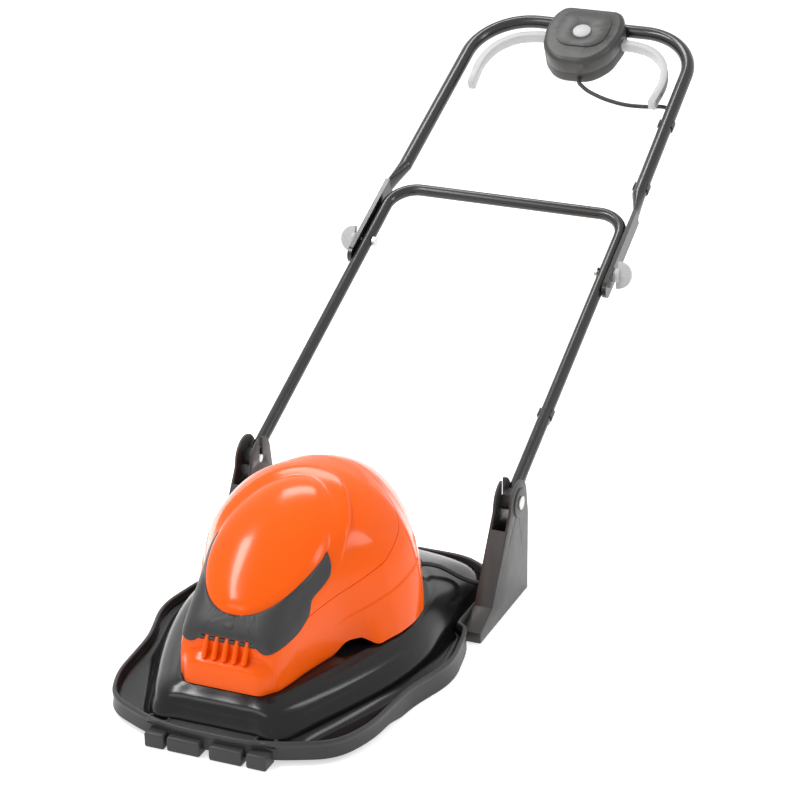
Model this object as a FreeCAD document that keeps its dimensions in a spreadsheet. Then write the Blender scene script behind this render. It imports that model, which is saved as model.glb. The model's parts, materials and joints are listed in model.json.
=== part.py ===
import FreeCAD, Part
import Sketcher
import math
import os
from FreeCAD import Placement, Rotation, Vector

# Electric hover mower with a folding tubular handle, in millimetres.
# The ground is Z = 0, the front of the deck points along -Y and the handle leans back along +Y.
# X = 0 is the mower's middle plane. The origin lies under the middle of the whole machine.
# "Ahead" distances are measured forwards from the handle's pivot line.
# Handle pieces are drawn in the handle's own frame: X across, Y up the handle from the pivot
# line, Z out of the handle's front face. One Placement then leans them all back together.

doc = FreeCAD.newDocument("hover_mower")
sheet = doc.addObject("Spreadsheet::Sheet", "sizes")

DRIVING = [
    # the whole machine
    ("pivot_y", -192.3, "handle pivot line, behind the origin's middle"),
    ("pivot_z", 156.0, "handle pivot line above the ground"),
    ("handle_lean", 25.7, "handle above the horizontal, degrees"),
    ("gap", 0.3, "play between pieces that lie beside each other"),
    ("running", 0.08, "radial play of a pin that turns in its hole"),
    # deck
    ("deck_ahead", 574.0, "front edge of the deck"),
    ("deck_back", 45.0, "rear edge of the deck, behind the pivot line"),
    ("nose_half", 74.0, "half of the deck's straight front edge"),
    ("waist_half", 199.0, "half width at the deck's waist"),
    ("hip_half", 226.0, "half width at the deck's widest place"),
    ("rim_z", 34.0, "top of the deck's rim"),
    ("rim_wide", 7.0, "width of the rim's flat top"),
    ("floor_z", 18.0, "floor of the gutter inside the rim"),
    ("deck_wall", 3.0, "wall of the deck moulding"),
    ("front_lift", 8.0, "front skirt above the ground"),
    ("dome_z", 74.0, "flat top of the deck's dome"),
    ("intake_d", 150.0, "air intake in the dome's top"),
    ("comb_deep", 28.0, "front to back size of the comb blocks"),
    ("comb_high", 22.0, "height of the comb blocks"),
    ("comb_reach", 11.0, "comb blocks ahead of the rim"),
    # hood
    ("hood_wall", 3.0, "wall of the hood mouldings"),
    ("hood_ahead", 526.0, "front face of the hood"),
    ("hood_rear", 62.0, "rear end of the hood, ahead of the pivot line"),
    ("crown_z", 266.0, "highest point of the hood"),
    ("visor_proud", 2.6, "visor panel above the hood's surface"),
    # cutting gear
    ("spindle_ahead", 340.0, "blade spindle"),
    ("shaft_d", 12.0, "blade spindle shaft"),
    ("blade_long", 360.0, "cutting circle"),
    ("blade_wide", 46.0, "blade width"),
    ("blade_thick", 3.0, "blade thickness"),
    ("blade_z", 8.0, "underside of the blade"),
    ("spacer_thick", 3.0, "one cutting height washer"),
    ("spacer_d", 34.0, "cutting height washer"),
    ("impeller_d", 250.0, "fan that lifts the mower"),
    ("impeller_disc", 3.0, "fan disc thickness"),
    ("vane_high", 24.0, "fan vane height"),
    ("vane_count", 12, "fan vanes"),
    ("hub_d", 42.0, "spindle housing hub"),
    ("hub_low", 42.0, "underside of the spindle housing hub"),
    ("hub_high", 54.0, "height of the spindle housing hub"),
    ("bearing_d", 32.0, "spindle bearing, outside"),
    ("bearing_high", 10.0, "spindle bearing height"),
    ("belt_z", 104.0, "underside of both belt pulleys"),
    ("pulley_high", 14.0, "belt pulley height"),
    ("pulley_d", 100.0, "belt seat of the driven pulley"),
    ("pinion_d", 18.0, "belt seat of the motor pulley"),
    ("flange_high", 1.5, "pulley flange thickness"),
    ("flange_deep", 4.5, "pulley flange above the belt seat"),
    ("belt_thick", 3.0, "belt thickness"),
    # motor
    ("motor_ahead", 205.0, "motor shaft"),
    ("motor_shaft_d", 8.0, "motor shaft"),
    ("bridge_z", 121.0, "underside of the motor bridge plate"),
    ("bridge_thick", 4.0, "motor bridge plate"),
    ("bridge_half", 80.0, "half width of the motor bridge"),
    ("stator_d", 84.0, "motor outside"),
    ("stator_bore", 48.0, "stator bore"),
    ("stator_high", 50.0, "stator stack"),
    ("armature_d", 46.6, "armature outside"),
    ("end_ring_high", 15.0, "lower motor end bracket"),
    ("top_ring_high", 26.0, "upper motor end bracket"),
    ("motor_bearing_d", 22.0, "motor bearing, outside"),
    ("motor_bearing_high", 7.0, "motor bearing height"),
    ("commutator_d", 24.0, "commutator outside"),
    ("motor_screw_d", 3.0, "screws of the motor"),
    # handle brackets
    ("bracket_inner", 191.0, "inner face of a bracket, from the middle plane"),
    ("bracket_wide", 28.0, "bracket across"),
    ("cheek", 3.8, "bracket cheek thickness"),
    ("bracket_round", 33.0, "rounded top of a bracket, about the pivot"),
    ("boss_d", 44.0, "round boss on a bracket's outer cheek"),
    ("pin_d", 12.0, "pivot pin"),
    ("screw_d", 4.0, "screws in the mouldings"),
    ("bracket_screw_z", 10.5, "bracket screws above the ground"),
    ("stop_wide", 6.0, "stop under a pivot plug, across"),
    ("cable_window", 15.0, "round window in the right bracket for the cable"),
    # lower handle
    ("lower_d", 19.0, "lower handle tube"),
    ("tube_wall", 1.5, "handle tube wall"),
    ("lower_half", 205.0, "lower leg from the middle plane, at the pivot"),
    ("lower_top_half", 197.5, "lower leg from the middle plane, at the crossbar"),
    ("lower_long", 597.0, "pivot line to the crossbar"),
    ("lower_bend", 46.0, "bend radius of the lower handle's corners"),
    ("plug_wide", 19.4, "pivot plug across"),
    ("plug_round", 13.0, "rounded end of a pivot plug"),
    # upper handle
    ("upper_d", 22.0, "upper handle tube"),
    ("upper_half", 200.5, "upper leg from the middle plane, above the joint"),
    ("upper_top_half", 191.0, "upper leg from the middle plane, at the bow"),
    ("upper_long", 1032.0, "pivot line to the bow"),
    ("bow_bend", 98.0, "bend radius of the bow's corners"),
    ("flat_thick", 7.0, "upper leg where it is pressed flat"),
    ("flat_wide", 28.0, "width of the flattened stretch"),
    ("flat_from", 424.0, "lower end of the upper legs"),
    ("flat_to", 600.0, "upper end of the flattened stretch"),
    ("round_from", 648.0, "where the upper legs are round again"),
    ("bolt_up", 470.0, "fold bolt up the handle"),
    ("bolt_d", 8.0, "fold bolt"),
    ("knob_d", 22.0, "base of a wing knob"),
    ("wing_long", 42.0, "straight edge of the wing"),
    ("wing_thick", 8.0, "wing thickness"),
    # switch box
    ("box_half", 67.0, "half width of the switch box"),
    ("box_from", 914.0, "lower end of the switch box"),
    ("box_to", 1051.0, "upper end of the switch box"),
    ("cover_high", 28.0, "switch box cover above the handle plane"),
    ("base_deep", 24.0, "switch box base below the handle plane"),
    ("box_wall", 2.5, "switch box wall"),
    ("button_up", 986.0, "lock button up the handle"),
    ("button_d", 30.0, "lock button"),
    ("button_proud", 4.5, "lock button above the cover"),
    ("lever_pivot_x", 46.0, "lever pivot from the middle plane"),
    ("lever_pivot_up", 994.0, "lever pivot up the handle"),
    ("lever_post_d", 7.0, "lever pivot post"),
    ("lever_deep", 12.0, "lever across its run"),
    ("lever_high", 16.0, "lever along the handle's normal"),
    ("lever_wall", 2.6, "lever channel wall"),
    # cable
    ("cable_d", 6.8, "cable between switch box and motor"),
    ("inlet_d", 8.4, "bore for the mains lead"),
]

row = 1
for alias, value, meaning in DRIVING:
    sheet.set("A%d" % row, alias)
    sheet.set("B%d" % row, str(value))
    sheet.set("C%d" % row, meaning)
    sheet.setAlias("B%d" % row, alias)
    row += 1
doc.recompute()


def size(alias):
    """The number in the sheet's cell of that name."""
    return float(sheet.get(alias))


NODES = []


def node(piece, label, placement=None):
    """Names a finished sub-part and puts it in its place."""
    piece.Label = label
    if placement is not None:
        piece.Placement = placement
    NODES.append(piece)
    return piece


def bind(piece, formulas):
    """Binds properties to formulas that read the sheet."""
    for name, formula in formulas.items():
        piece.setExpression(name, formula)
    return piece


def primitive(kind, name, formulas, at=("0", "0", "0"), axis=(0, 0, 1)):
    """A Part primitive whose sizes and place are formulas."""
    piece = doc.addObject("Part::" + kind, name)
    bind(piece, formulas)
    piece.Placement = Placement(Vector(0, 0, 0), Rotation(Vector(0, 0, 1), Vector(*axis)))
    for letter, formula in zip("xyz", at):
        if formula != "0":
            piece.setExpression("Placement.Base." + letter, formula)
    return piece


def cylinder(name, diameter, height, at=("0", "0", "0"), axis=(0, 0, 1)):
    """A cylinder from formulas for its diameter and height."""
    return primitive("Cylinder", name, {"Radius": "(%s) / 2" % diameter, "Height": height}, at, axis)


def box(name, across, along, up, at):
    """A box from formulas for its three sizes and its lowest corner."""
    return primitive("Box", name, {"Length": across, "Width": along, "Height": up}, at)


def cut(name, base, tool):
    """The base without the tool."""
    piece = doc.addObject("Part::Cut", name)
    piece.Base = base
    piece.Tool = tool
    return piece


def fuse(name, pieces):
    """All the pieces as one."""
    piece = doc.addObject("Part::MultiFuse", name)
    piece.Shapes = pieces
    return piece


def group(name, pieces):
    """Separate solids kept together in one sub-part."""
    piece = doc.addObject("Part::Compound", name)
    piece.Links = pieces
    return piece


def ring(name, outside, bore, height, at=("0", "0", "0"), axis=(0, 0, 1)):
    """A round disc with a hole through it."""
    body = cylinder(name + "_body", outside, height, at, axis)
    hole = cylinder(name + "_hole", bore, height, at, axis)
    return cut(name, body, hole)


def feature(name, shape):
    """A sub-part whose shape is worked out here."""
    piece = doc.addObject("Part::Feature", name)
    piece.Shape = shape
    return piece


# Curves and solids for the pieces that have free forms

def path(points, closed=False, share=0.45, largest=1e9):
    """Straight runs through the points, joined by tangent arcs as large as the runs allow.

    Each arc's radius is the share of its shorter run, divided by the tangent of half the turn.
    Returns the wire and the arcs' radii."""
    pts = [Vector(*p) for p in points]
    count = len(pts)
    corners = range(count) if closed else range(1, count - 1)
    arcs = {}
    radii = []
    for i in corners:
        before, here, after = pts[i - 1], pts[i], pts[(i + 1) % count]
        inward = (before - here).normalize()
        outward = (after - here).normalize()
        turn = math.pi - inward.getAngle(outward)
        if turn < 1e-4:
            arcs[i] = None
            continue
        run = min((before - here).Length, (after - here).Length)
        back = share * run
        radius = back / math.tan(turn / 2)
        if radius > largest:
            radius = largest
            back = radius * math.tan(turn / 2)
        centre_way = (inward + outward).normalize()
        middle = here + centre_way * (radius / math.cos(turn / 2) - radius)
        arcs[i] = (here + inward * back, middle, here + outward * back)
        radii.append(radius)
    edges = []
    cursor = pts[0] if not closed else None
    for i in corners:
        if arcs[i] is None:
            continue
        start, middle, end = arcs[i]
        if cursor is not None and (start - cursor).Length > 1e-6:
            edges.append(Part.makeLine(cursor, start))
        edges.append(Part.Arc(start, middle, end).toShape())
        cursor = end
    if closed:
        first = arcs[0][0]
        if (first - cursor).Length > 1e-6:
            edges.append(Part.makeLine(cursor, first))
    elif (pts[-1] - cursor).Length > 1e-6:
        edges.append(Part.makeLine(cursor, pts[-1]))
    return Part.Wire(edges), radii


def swept(wire, radius):
    """A round bar along a wire."""
    start = wire.Edges[0]
    begin = start.valueAt(start.FirstParameter)
    ahead = start.tangentAt(start.FirstParameter)
    circle = Part.Wire([Part.makeCircle(radius, begin, ahead)])
    return wire.makePipeShell([circle], True, False)


def prism(points, depth, closed=True):
    """A flat outline of straight sides pushed along a vector."""
    pts = [Vector(*p) for p in points]
    return Part.Face(Part.makePolygon(pts + pts[:1])).extrude(Vector(*depth))


def mirrored(shape):
    """The shape on the other side of the middle plane."""
    return shape.mirror(Vector(0, 0, 0), Vector(1, 0, 0))


def both_sides(half):
    """A closed outline from the points of its right half, front to back."""
    left = [(-x, y) for x, y in reversed(half) if x > 1e-6]
    return list(half) + left


def slab(outline, low, high):
    """A flat wire's face, from one height to another."""
    face = Part.Face(outline)
    face.translate(Vector(0, 0, low))
    return face.extrude(Vector(0, 0, high - low))


pivot_y = size("pivot_y")
pivot_z = size("pivot_z")
lean = math.radians(size("handle_lean"))
HANDLE = Placement(Vector(0, pivot_y, pivot_z), Rotation(Vector(1, 0, 0), size("handle_lean")))


def deck_outline():
    """The rim seen from above, waisted ahead of the brackets and narrow between them."""
    front = pivot_y - size("deck_ahead")
    back = pivot_y + size("deck_back")
    waist = size("waist_half")
    hip = size("hip_half")
    tail = size("bracket_inner") - size("gap")
    half = [
        (size("nose_half"), front),
        (waist - 33, front + 43),
        (waist - 9, front + 104),
        (waist, front + 216),
        (hip, front + 306),
        (hip - 14, front + 384),
        (hip - 22, front + 411),
        (tail, front + 415),
    ]
    corner = [(tail, back)]
    points = [(x, y, 0) for x, y in both_sides(half + corner)]
    return path(points, closed=True, share=0.45, largest=240)[0]


def inner_outline(inset):
    """The rim's outline moved inwards."""
    return deck_outline().makeOffset2D(-inset)


def closed_curve(points, height):
    """One smooth closed curve through the points, at a height."""
    curve = Part.BSplineCurve()
    curve.interpolate([Vector(x, y, height) for x, y in points], PeriodicFlag=True)
    return Part.Wire([curve.toShape()])


HOOD_SCREWS = [(x, y) for y, half in ((-450, 70), (-235, 143)) for x in (-half, half)]
BRACKET_SCREWS = (-125, 18)


def housing_screw_places():
    """Four screws round the spindle housing's flange."""
    reach = size("intake_d") / 2 + 5
    y = pivot_y - size("spindle_ahead")
    return [(reach * math.cos(math.radians(90 * i)), y + reach * math.sin(math.radians(90 * i)))
            for i in range(4)]


def bridge_corners():
    """The lowest corners of the motor bridge's four feet."""
    half = size("bridge_half")
    low_y = pivot_y - size("spindle_ahead") - 80
    high_y = pivot_y - size("motor_ahead") + 56
    return [(x, y) for x in (-half, half - BRIDGE_FOOT) for y in (low_y, high_y - BRIDGE_FOOT)]


BRIDGE_FOOT = 14.0


def bridge_screw_places():
    """A screw up into the middle of each foot of the motor bridge."""
    return [(x + BRIDGE_FOOT / 2, y + BRIDGE_FOOT / 2) for x, y in bridge_corners()]


def dome(inset):
    """The raised middle of the deck, as a loft from the gutter's floor to its flat top."""
    front = pivot_y - size("deck_ahead")
    top = size("dome_z") - inset
    floor = size("floor_z") - size("deck_wall") - inset
    levels = [
        # share of the height, then half outlines as (across, behind the front edge)
        (0, [(0, 16), (50, 16), (98, 20), (134, 94), (176, 209), (194, 300), (190, 378), (179, 470),
             (176, 562), (150, 596), (75, 605), (0, 606)]),
        (0.55, [(0, 24), (46, 24), (90, 29), (124, 98), (163, 209), (182, 300), (178, 378), (166, 460),
                (150, 536), (125, 567), (62, 582), (0, 583)]),
        (0.86, [(0, 33), (42, 33), (82, 40), (114, 104), (149, 210), (168, 300), (165, 376), (152, 440),
                (126, 492), (100, 514), (52, 523), (0, 524)]),
        (1, [(0, 46), (38, 46), (72, 54), (98, 112), (130, 212), (154, 298), (156, 368), (142, 424),
             (116, 463), (88, 482), (44, 490), (0, 491)]),
    ]
    wires = []
    for share, half in levels:
        pts = []
        for x, behind in half:
            inward = inset if behind < 300 else -inset
            pts.append((max(x - inset, 0), front + behind + inward))
        wires.append(closed_curve(both_sides(pts), floor + share * (top - floor)))
    return Part.makeLoft(wires, True, False)


def make_deck():
    """Skirt, gutter, dome and front comb in one moulding, open underneath."""
    wall = size("deck_wall")
    rim_z = size("rim_z")
    floor = size("floor_z")
    front = pivot_y - size("deck_ahead")
    skirt = slab(deck_outline(), 0, rim_z)
    gutter = slab(inner_outline(size("rim_wide")), floor, rim_z + 1)
    under = slab(inner_outline(wall), -1, floor - wall)
    shell = skirt.cut(gutter).cut(under)
    # the front bridge between rim and dome
    bridge_half = size("nose_half") + 22
    bridge = Part.makeBox(2 * bridge_half, 26, 4, Vector(-bridge_half, front + 4, rim_z - 6))
    shell = shell.fuse(bridge).fuse(dome(0)).cut(dome(wall))
    # comb blocks under the front rim: narrow, wide, wide, narrow
    deep = size("comb_deep")
    high = size("comb_high")
    reach = size("comb_reach")
    for low, wide in ((-88, 29), (-55, 48), (6, 50), (60, 29)):
        block = Part.makeBox(wide, deep, high, Vector(low, front - reach, 0))
        block = block.makeFillet(5, [edge for edge in block.Edges if lower_front(edge, front - reach)])
        shell = shell.fuse(block)
    # the skirt is lifted off the ground along the front, but the comb blocks reach it
    lift = size("front_lift")
    wide = 2 * size("hip_half") + 20
    wedge = prism([(-wide / 2, front - 1, -1), (-wide / 2, front - 1, lift), (-wide / 2, front + 150, lift),
                   (-wide / 2, front + 200, 0), (-wide / 2, front + 200, -1)], (wide, 0, 0))
    keep = Part.makeBox(2 * 89, deep, lift + 2, Vector(-89, front - reach, -1))
    shell = shell.cut(wedge.cut(keep))
    # two eyelets through the bridge, a round hole in the left of the front wall and the air intake
    for side in (-1, 1):
        for x in (70, 84):
            shell = shell.cut(Part.makeCylinder(4, 30, Vector(side * x, front + 14, rim_z - 14)))
        shell = shell.cut(Part.makeBox(14, 8, 30, Vector(side * 77 - 7, front + 10, rim_z - 14)))
    shell = shell.cut(Part.makeCylinder(5, 60, Vector(-118, front - 10, 24), Vector(0.25, 1, 0)))
    spindle = Vector(0, pivot_y - size("spindle_ahead"), floor)
    shell = shell.cut(Part.makeCylinder(size("intake_d") / 2, size("dome_z"), spindle))
    # holes for the screws of the hood, the brackets, the spindle housing and the motor bridge
    for x, y in HOOD_SCREWS:
        shell = shell.cut(Part.makeCylinder(size("screw_d") / 2 + size("gap"), 40, Vector(x, pivot_y + y, 50)))
    for x, y in housing_screw_places() + bridge_screw_places():
        shell = shell.cut(Part.makeCylinder(size("screw_d") / 2, 40, Vector(x, y, 50)))
    for side in (-1, 1):
        for y in BRACKET_SCREWS:
            start = Vector(side * size("bracket_inner"), pivot_y + y, size("bracket_screw_z"))
            shell = shell.cut(Part.makeCylinder(size("screw_d") / 2, 6.5, start, Vector(-side, 0, 0)))
    return shell.removeSplitter()


def lower_front(edge, front):
    """Whether an edge is the lower front edge of a block."""
    box_of = edge.BoundBox
    return box_of.YMax < front + 0.01 and box_of.ZMax < 0.01


node(feature("deck", make_deck()), "deck")


# Hood: one free form, cut into the front cap and the body, with its visor and vent grille

HOOD_STATIONS = [
    # ahead of the pivot line, half width, crown height, power of the section's superellipse
    (526, 57, 118, 4.5),
    (508, 69, 148, 4.5),
    (450, 82, 188, 4.4),
    (373, 102, 229, 3.8),
    (335, 122, 245, 3.2),
    (290, 145, 256, 2.8),
    (222, 157, 266, 2.5),
    (185, 144, 264, 2.3),
    (150, 128, 255, 2.2),
    (105, 107, 230, 2.1),
    (82, 92, 202, 2.1),
    (68, 66, 164, 2.1),
    (62, 38, 116, 2.1),
]


HOOD_FOOT = 60.0


def arch(half, crown, y, base, inset, power):
    """A closed arch: a flat foot and a superellipse over it."""
    wide = half - inset
    high = crown - inset - base
    steps = 8
    pts = []
    for i in range(steps + 1):
        angle = math.pi * i / steps
        c = math.cos(angle)
        s = math.sin(angle)
        x = wide * math.copysign(abs(c) ** (2 / power), c)
        z = base + high * abs(s) ** (2 / power)
        pts.append(Vector(x, y, z))
    curve = Part.BSplineCurve()
    curve.interpolate(pts)
    foot = Part.makeLine(pts[-1], pts[0])
    return Part.Wire([curve.toShape(), foot])


def hood_form(inset, grow=0.0):
    """The hood's outer form, or the same form moved inwards or outwards."""
    tallest = max(station[2] for station in HOOD_STATIONS)
    first = HOOD_STATIONS[0][0]
    last = HOOD_STATIONS[-1][0]
    length = size("hood_ahead") - size("hood_rear")
    wires = []
    for ahead, half, crown, power in HOOD_STATIONS:
        share = (ahead - last) / (first - last)
        y = pivot_y - size("hood_rear") - share * length + (inset - grow) * (2 * share - 1)
        high = crown * size("crown_z") / tallest
        wires.append(arch(half + grow, high + grow, y, HOOD_FOOT, inset, power))
    return Part.makeLoft(wires, True, False)


def seam_prism():
    """Everything above and ahead of the line where the hood's cap meets its body."""
    top = size("crown_z")
    line = [(-620, 143), (-512, 143), (-427, 152), (-355, 162), (-289, 178), (-237, 200), (-200, 226),
            (-167, 256), (-158, top + 40), (-620, top + 40)]
    return prism([(-260, pivot_y + y, z) for y, z in line], (520, 0, 0))


outer_form = hood_form(0)
inner_form = hood_form(size("hood_wall"))


def egg_form(grow):
    """The egg shaped bulge on the cap, nose down."""
    stretch = FreeCAD.Matrix()
    stretch.scale(Vector(79 + grow, 128 + grow, 26 + grow))
    egg = Part.makeSphere(1).transformGeometry(stretch)
    egg.rotate(Vector(0, 0, 0), Vector(1, 0, 0), 22.4)
    egg.translate(Vector(0, pivot_y - 369, 213))
    return egg


egg = egg_form(0)
foot_z = size("dome_z") + size("gap")
foot_line = [(-700, 0), (-700, foot_z), (-76, foot_z), (-60, foot_z - 3), (-40, foot_z - 8), (-40, 0)]
below = prism([(-300, pivot_y + y, z) for y, z in foot_line], (600, 0, 0))
shell_form = outer_form.fuse(egg).cut(inner_form).cut(below)
arch_notch = prism([(-300, pivot_y - 372, foot_z - 1), (-300, pivot_y - 345, foot_z + 12),
                    (-300, pivot_y - 300, foot_z + 16), (-300, pivot_y - 262, foot_z + 10),
                    (-300, pivot_y - 240, foot_z - 1)], (600, 0, 0))
shell_form = shell_form.cut(arch_notch)
cap_region = seam_prism()
cap_shape = shell_form.common(cap_region)
gap_region = cap_region.copy()
gap_region.translate(Vector(0, size("gap"), -size("gap")))
body_shape = shell_form.cut(gap_region)


def largest_solid(shape):
    """The biggest solid, without slivers that a cut leaves."""
    return max(shape.Solids, key=lambda solid: solid.Volume)


# the vent recess in the body's front, and its grille of slanted fins
front_y = pivot_y - size("hood_ahead")
vent = Part.makeBox(80, 40, 13, Vector(-40, front_y - 5, 120.5))
body_shape = largest_solid(body_shape.cut(vent))
# screw bosses inside the hood, over the screws through the deck
for x, y in HOOD_SCREWS:
    boss = Part.makeCylinder(6, 26, Vector(x, pivot_y + y, foot_z))
    boss = boss.common(outer_form)
    body_shape = body_shape.fuse(boss)
    body_shape = body_shape.cut(Part.makeCylinder(size("screw_d") / 2, 20, Vector(x, pivot_y + y, foot_z)))
gland_way = Vector(0.84, 0.54, 0).normalize()
gland_at = Vector(106.1, pivot_y - 104.1, 84)
gland_hole = Part.makeCylinder(size("cable_d") / 2 + 2.5, 30, gland_at - gland_way * 15, gland_way)
body_shape = body_shape.cut(gland_hole)
node(feature("hood_body", largest_solid(body_shape)), "hood_body")
node(feature("hood_cap", largest_solid(cap_shape)), "hood_cap")


def crescent():
    """The visor seen from the front, as a prism along Y."""
    right_edge = [(86, 222), (89, 190), (80, 165), (82, 150), (72, 137), (52, 128), (42, 134), (26, 141)]
    inside = [(0, 160), (34, 164), (58, 174), (74, 193)]
    left_edge = [(-x, z) for x, z in reversed(right_edge)]
    left_inside = [(-x, z) for x, z in inside[1:]]
    line = right_edge + left_edge + list(reversed(left_inside)) + inside
    return prism([(x, pivot_y - 540, z) for x, z in line], (0, 190, 0))


visor_form = hood_form(0, grow=size("visor_proud")).cut(hood_form(0, grow=size("gap"))).cut(egg_form(size("gap")))
visor_shape = visor_form.common(crescent())
node(feature("visor", largest_solid(visor_shape)), "visor")


def make_grille():
    """A back plate in the vent, with five slanted fins on it."""
    high = 12.4
    back = Part.makeBox(79.4, 3, high, Vector(-39.7, front_y + 14, 120.8))
    for i in range(5):
        x = -32 + 16 * i
        fin = Part.makeBox(5, 13, high, Vector(x - 2.5, front_y + 3, 120.8))
        back = back.fuse(fin)
    return back


node(feature("vent_grille", make_grille()), "vent_grille")


# Cutting gear on the blade spindle

SPINDLE = "sizes.pivot_y - sizes.spindle_ahead"


def at_spindle(height):
    """A place on the blade spindle's axis."""
    return ("0", SPINDLE, height)


def origin_plane(body, role):
    """One of a body's own origin planes."""
    for item in body.Origin.OriginFeatures:
        if item.Role == role:
            return item
    raise ValueError(role)


def sketch_on(body, name, role="XY_Plane"):
    """A sketch on one of the body's own planes."""
    sketch = body.newObject("Sketcher::SketchObject", name)
    sketch.AttachmentSupport = (origin_plane(body, role), [""])
    sketch.MapMode = "FlatFace"
    return sketch


def bound_circle(sketch, formula, centre=(0, 0), up_formula=None):
    """A circle whose radius follows a formula."""
    index = sketch.addGeometry(Part.Circle(Vector(centre[0], centre[1], 0), Vector(0, 0, 1), 5.0), False)
    if centre == (0, 0) and up_formula is None:
        sketch.addConstraint(Sketcher.Constraint("Coincident", index, 3, -1, 1))
    else:
        sketch.addConstraint(Sketcher.Constraint("DistanceX", -1, 1, index, 3, centre[0]))
        sketch.addConstraint(Sketcher.Constraint("DistanceY", -1, 1, index, 3, centre[1]))
    number = sketch.addConstraint(Sketcher.Constraint("Radius", index, 5.0))
    sketch.setExpression("Constraints[%d]" % number, formula)
    return index


def bound_rectangle(sketch, low_x, high_x, low_y, high_y):
    """A rectangle whose four sides follow formulas for their distance from the axes."""
    corners = [Vector(-10, -10, 0), Vector(10, -10, 0), Vector(10, 10, 0), Vector(-10, 10, 0)]
    first = sketch.GeometryCount
    for i in range(4):
        sketch.addGeometry(Part.LineSegment(corners[i], corners[(i + 1) % 4]), False)
    for i in range(4):
        sketch.addConstraint(Sketcher.Constraint("Coincident", first + i, 2, first + (i + 1) % 4, 1))
    for i, kind in ((0, "Horizontal"), (1, "Vertical"), (2, "Horizontal"), (3, "Vertical")):
        sketch.addConstraint(Sketcher.Constraint(kind, first + i))
    for kind, line, formula in (("DistanceX", 0, low_x), ("DistanceX", 1, high_x),
                                ("DistanceY", 0, low_y), ("DistanceY", 2, high_y)):
        number = sketch.addConstraint(Sketcher.Constraint(kind, -1, 1, first + line, 1, -10.0 if
                                                          formula in (low_x, low_y) else 10.0))
        sketch.setExpression("Constraints[%d]" % number, formula)


def pad(body, sketch, name, formula, reverse=False):
    """A pad of a sketch, as long as the formula says."""
    piece = body.newObject("PartDesign::Pad", name)
    piece.Profile = sketch
    piece.setExpression("Length", formula)
    piece.Reversed = reverse
    return piece


def pocket(body, sketch, name, through=True, formula=None):
    """A pocket of a sketch, through all or as deep as the formula says, upwards."""
    piece = body.newObject("PartDesign::Pocket", name)
    piece.Profile = sketch
    piece.Reversed = True
    if through:
        piece.Type = 1
    else:
        piece.setExpression("Length", formula)
    return piece


def make_blade():
    """The bar blade: a long plate with its bolt hole and two drive holes."""
    body = doc.addObject("PartDesign::Body", "blade")
    outline = sketch_on(body, "blade_outline")
    bound_rectangle(outline, "-sizes.blade_long / 2", "sizes.blade_long / 2",
                    "-sizes.blade_wide / 2", "sizes.blade_wide / 2")
    pad(body, outline, "blade_plate", "sizes.blade_thick")
    doc.recompute()
    holes = sketch_on(body, "blade_holes")
    bound_circle(holes, "sizes.bolt_d / 2 + 0.2")
    bound_circle(holes, "2.5", (13, 0))
    bound_circle(holes, "2.5", (-13, 0))
    pocket(body, holes, "blade_drilled")
    return body


blade = make_blade()
node(blade, "blade", Placement(Vector(0, pivot_y - size("spindle_ahead"), size("blade_z")), Rotation()))
SPACER_Z = "sizes.blade_z + sizes.blade_thick"
spacers = []
for i in range(2):
    spacers.append(ring("height_washer_%d" % (i + 1), "sizes.spacer_d", "sizes.shaft_d + 0.4",
                        "sizes.spacer_thick", at_spindle(SPACER_Z + " + %d * sizes.spacer_thick" % i)))
node(group("height_washers", spacers), "height_washers")
FAN_Z = SPACER_Z + " + 2 * sizes.spacer_thick"


def make_impeller():
    """The lifting fan: a disc, a hub and a ring of upright vanes."""
    body = doc.addObject("PartDesign::Body", "impeller")
    disc = sketch_on(body, "impeller_disc")
    bound_circle(disc, "sizes.impeller_d / 2")
    pad(body, disc, "impeller_plate", "sizes.impeller_disc")
    hub = sketch_on(body, "impeller_hub")
    bound_circle(hub, "sizes.spacer_d / 2")
    pad(body, hub, "impeller_boss", "sizes.hub_low - 4 - (%s)" % FAN_Z)
    doc.recompute()
    vane = sketch_on(body, "impeller_vane")
    bound_rectangle(vane, "sizes.impeller_d / 4", "sizes.impeller_d / 2 - 4", "-1.5", "1.5")
    vane_pad = pad(body, vane, "impeller_vanes", "sizes.impeller_disc + sizes.vane_high")
    doc.recompute()
    ring_of = body.newObject("PartDesign::PolarPattern", "impeller_ring")
    ring_of.Originals = [vane_pad]
    ring_of.Axis = (vane, ["N_Axis"])
    ring_of.Angle = 360
    ring_of.setExpression("Occurrences", "sizes.vane_count")
    body.Tip = ring_of
    doc.recompute()
    bore = sketch_on(body, "impeller_bore")
    bound_circle(bore, "sizes.shaft_d / 2 + 0.2")
    pocket(body, bore, "impeller_bored")
    return body


fan_z = size("blade_z") + size("blade_thick") + 2 * size("spacer_thick")
node(make_impeller(), "impeller", Placement(Vector(0, pivot_y - size("spindle_ahead"), fan_z), Rotation()))

hub_top = "sizes.hub_low + sizes.hub_high"
shaft_parts = [
    cylinder("spindle_bar", "sizes.shaft_d", "sizes.belt_z + sizes.pulley_high + 8 - (%s)" % SPACER_Z,
             at_spindle(SPACER_Z)),
    cylinder("spindle_collar", "sizes.shaft_d + 5", "sizes.belt_z - (%s) - 0.6" % hub_top,
             at_spindle(hub_top + " + 0.3")),
]
shaft = cut("spindle_shaft", fuse("spindle_solid", shaft_parts),
            cylinder("spindle_thread", "sizes.bolt_d", "30", at_spindle(SPACER_Z)))
node(shaft, "spindle_shaft")
bolt = fuse("blade_bolt", [
    cylinder("blade_bolt_head", "28", "5.5", at_spindle("sizes.blade_z - 5.5")),
    cylinder("blade_bolt_shank", "sizes.bolt_d", "26", at_spindle("sizes.blade_z")),
])
node(bolt, "blade_bolt")


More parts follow.
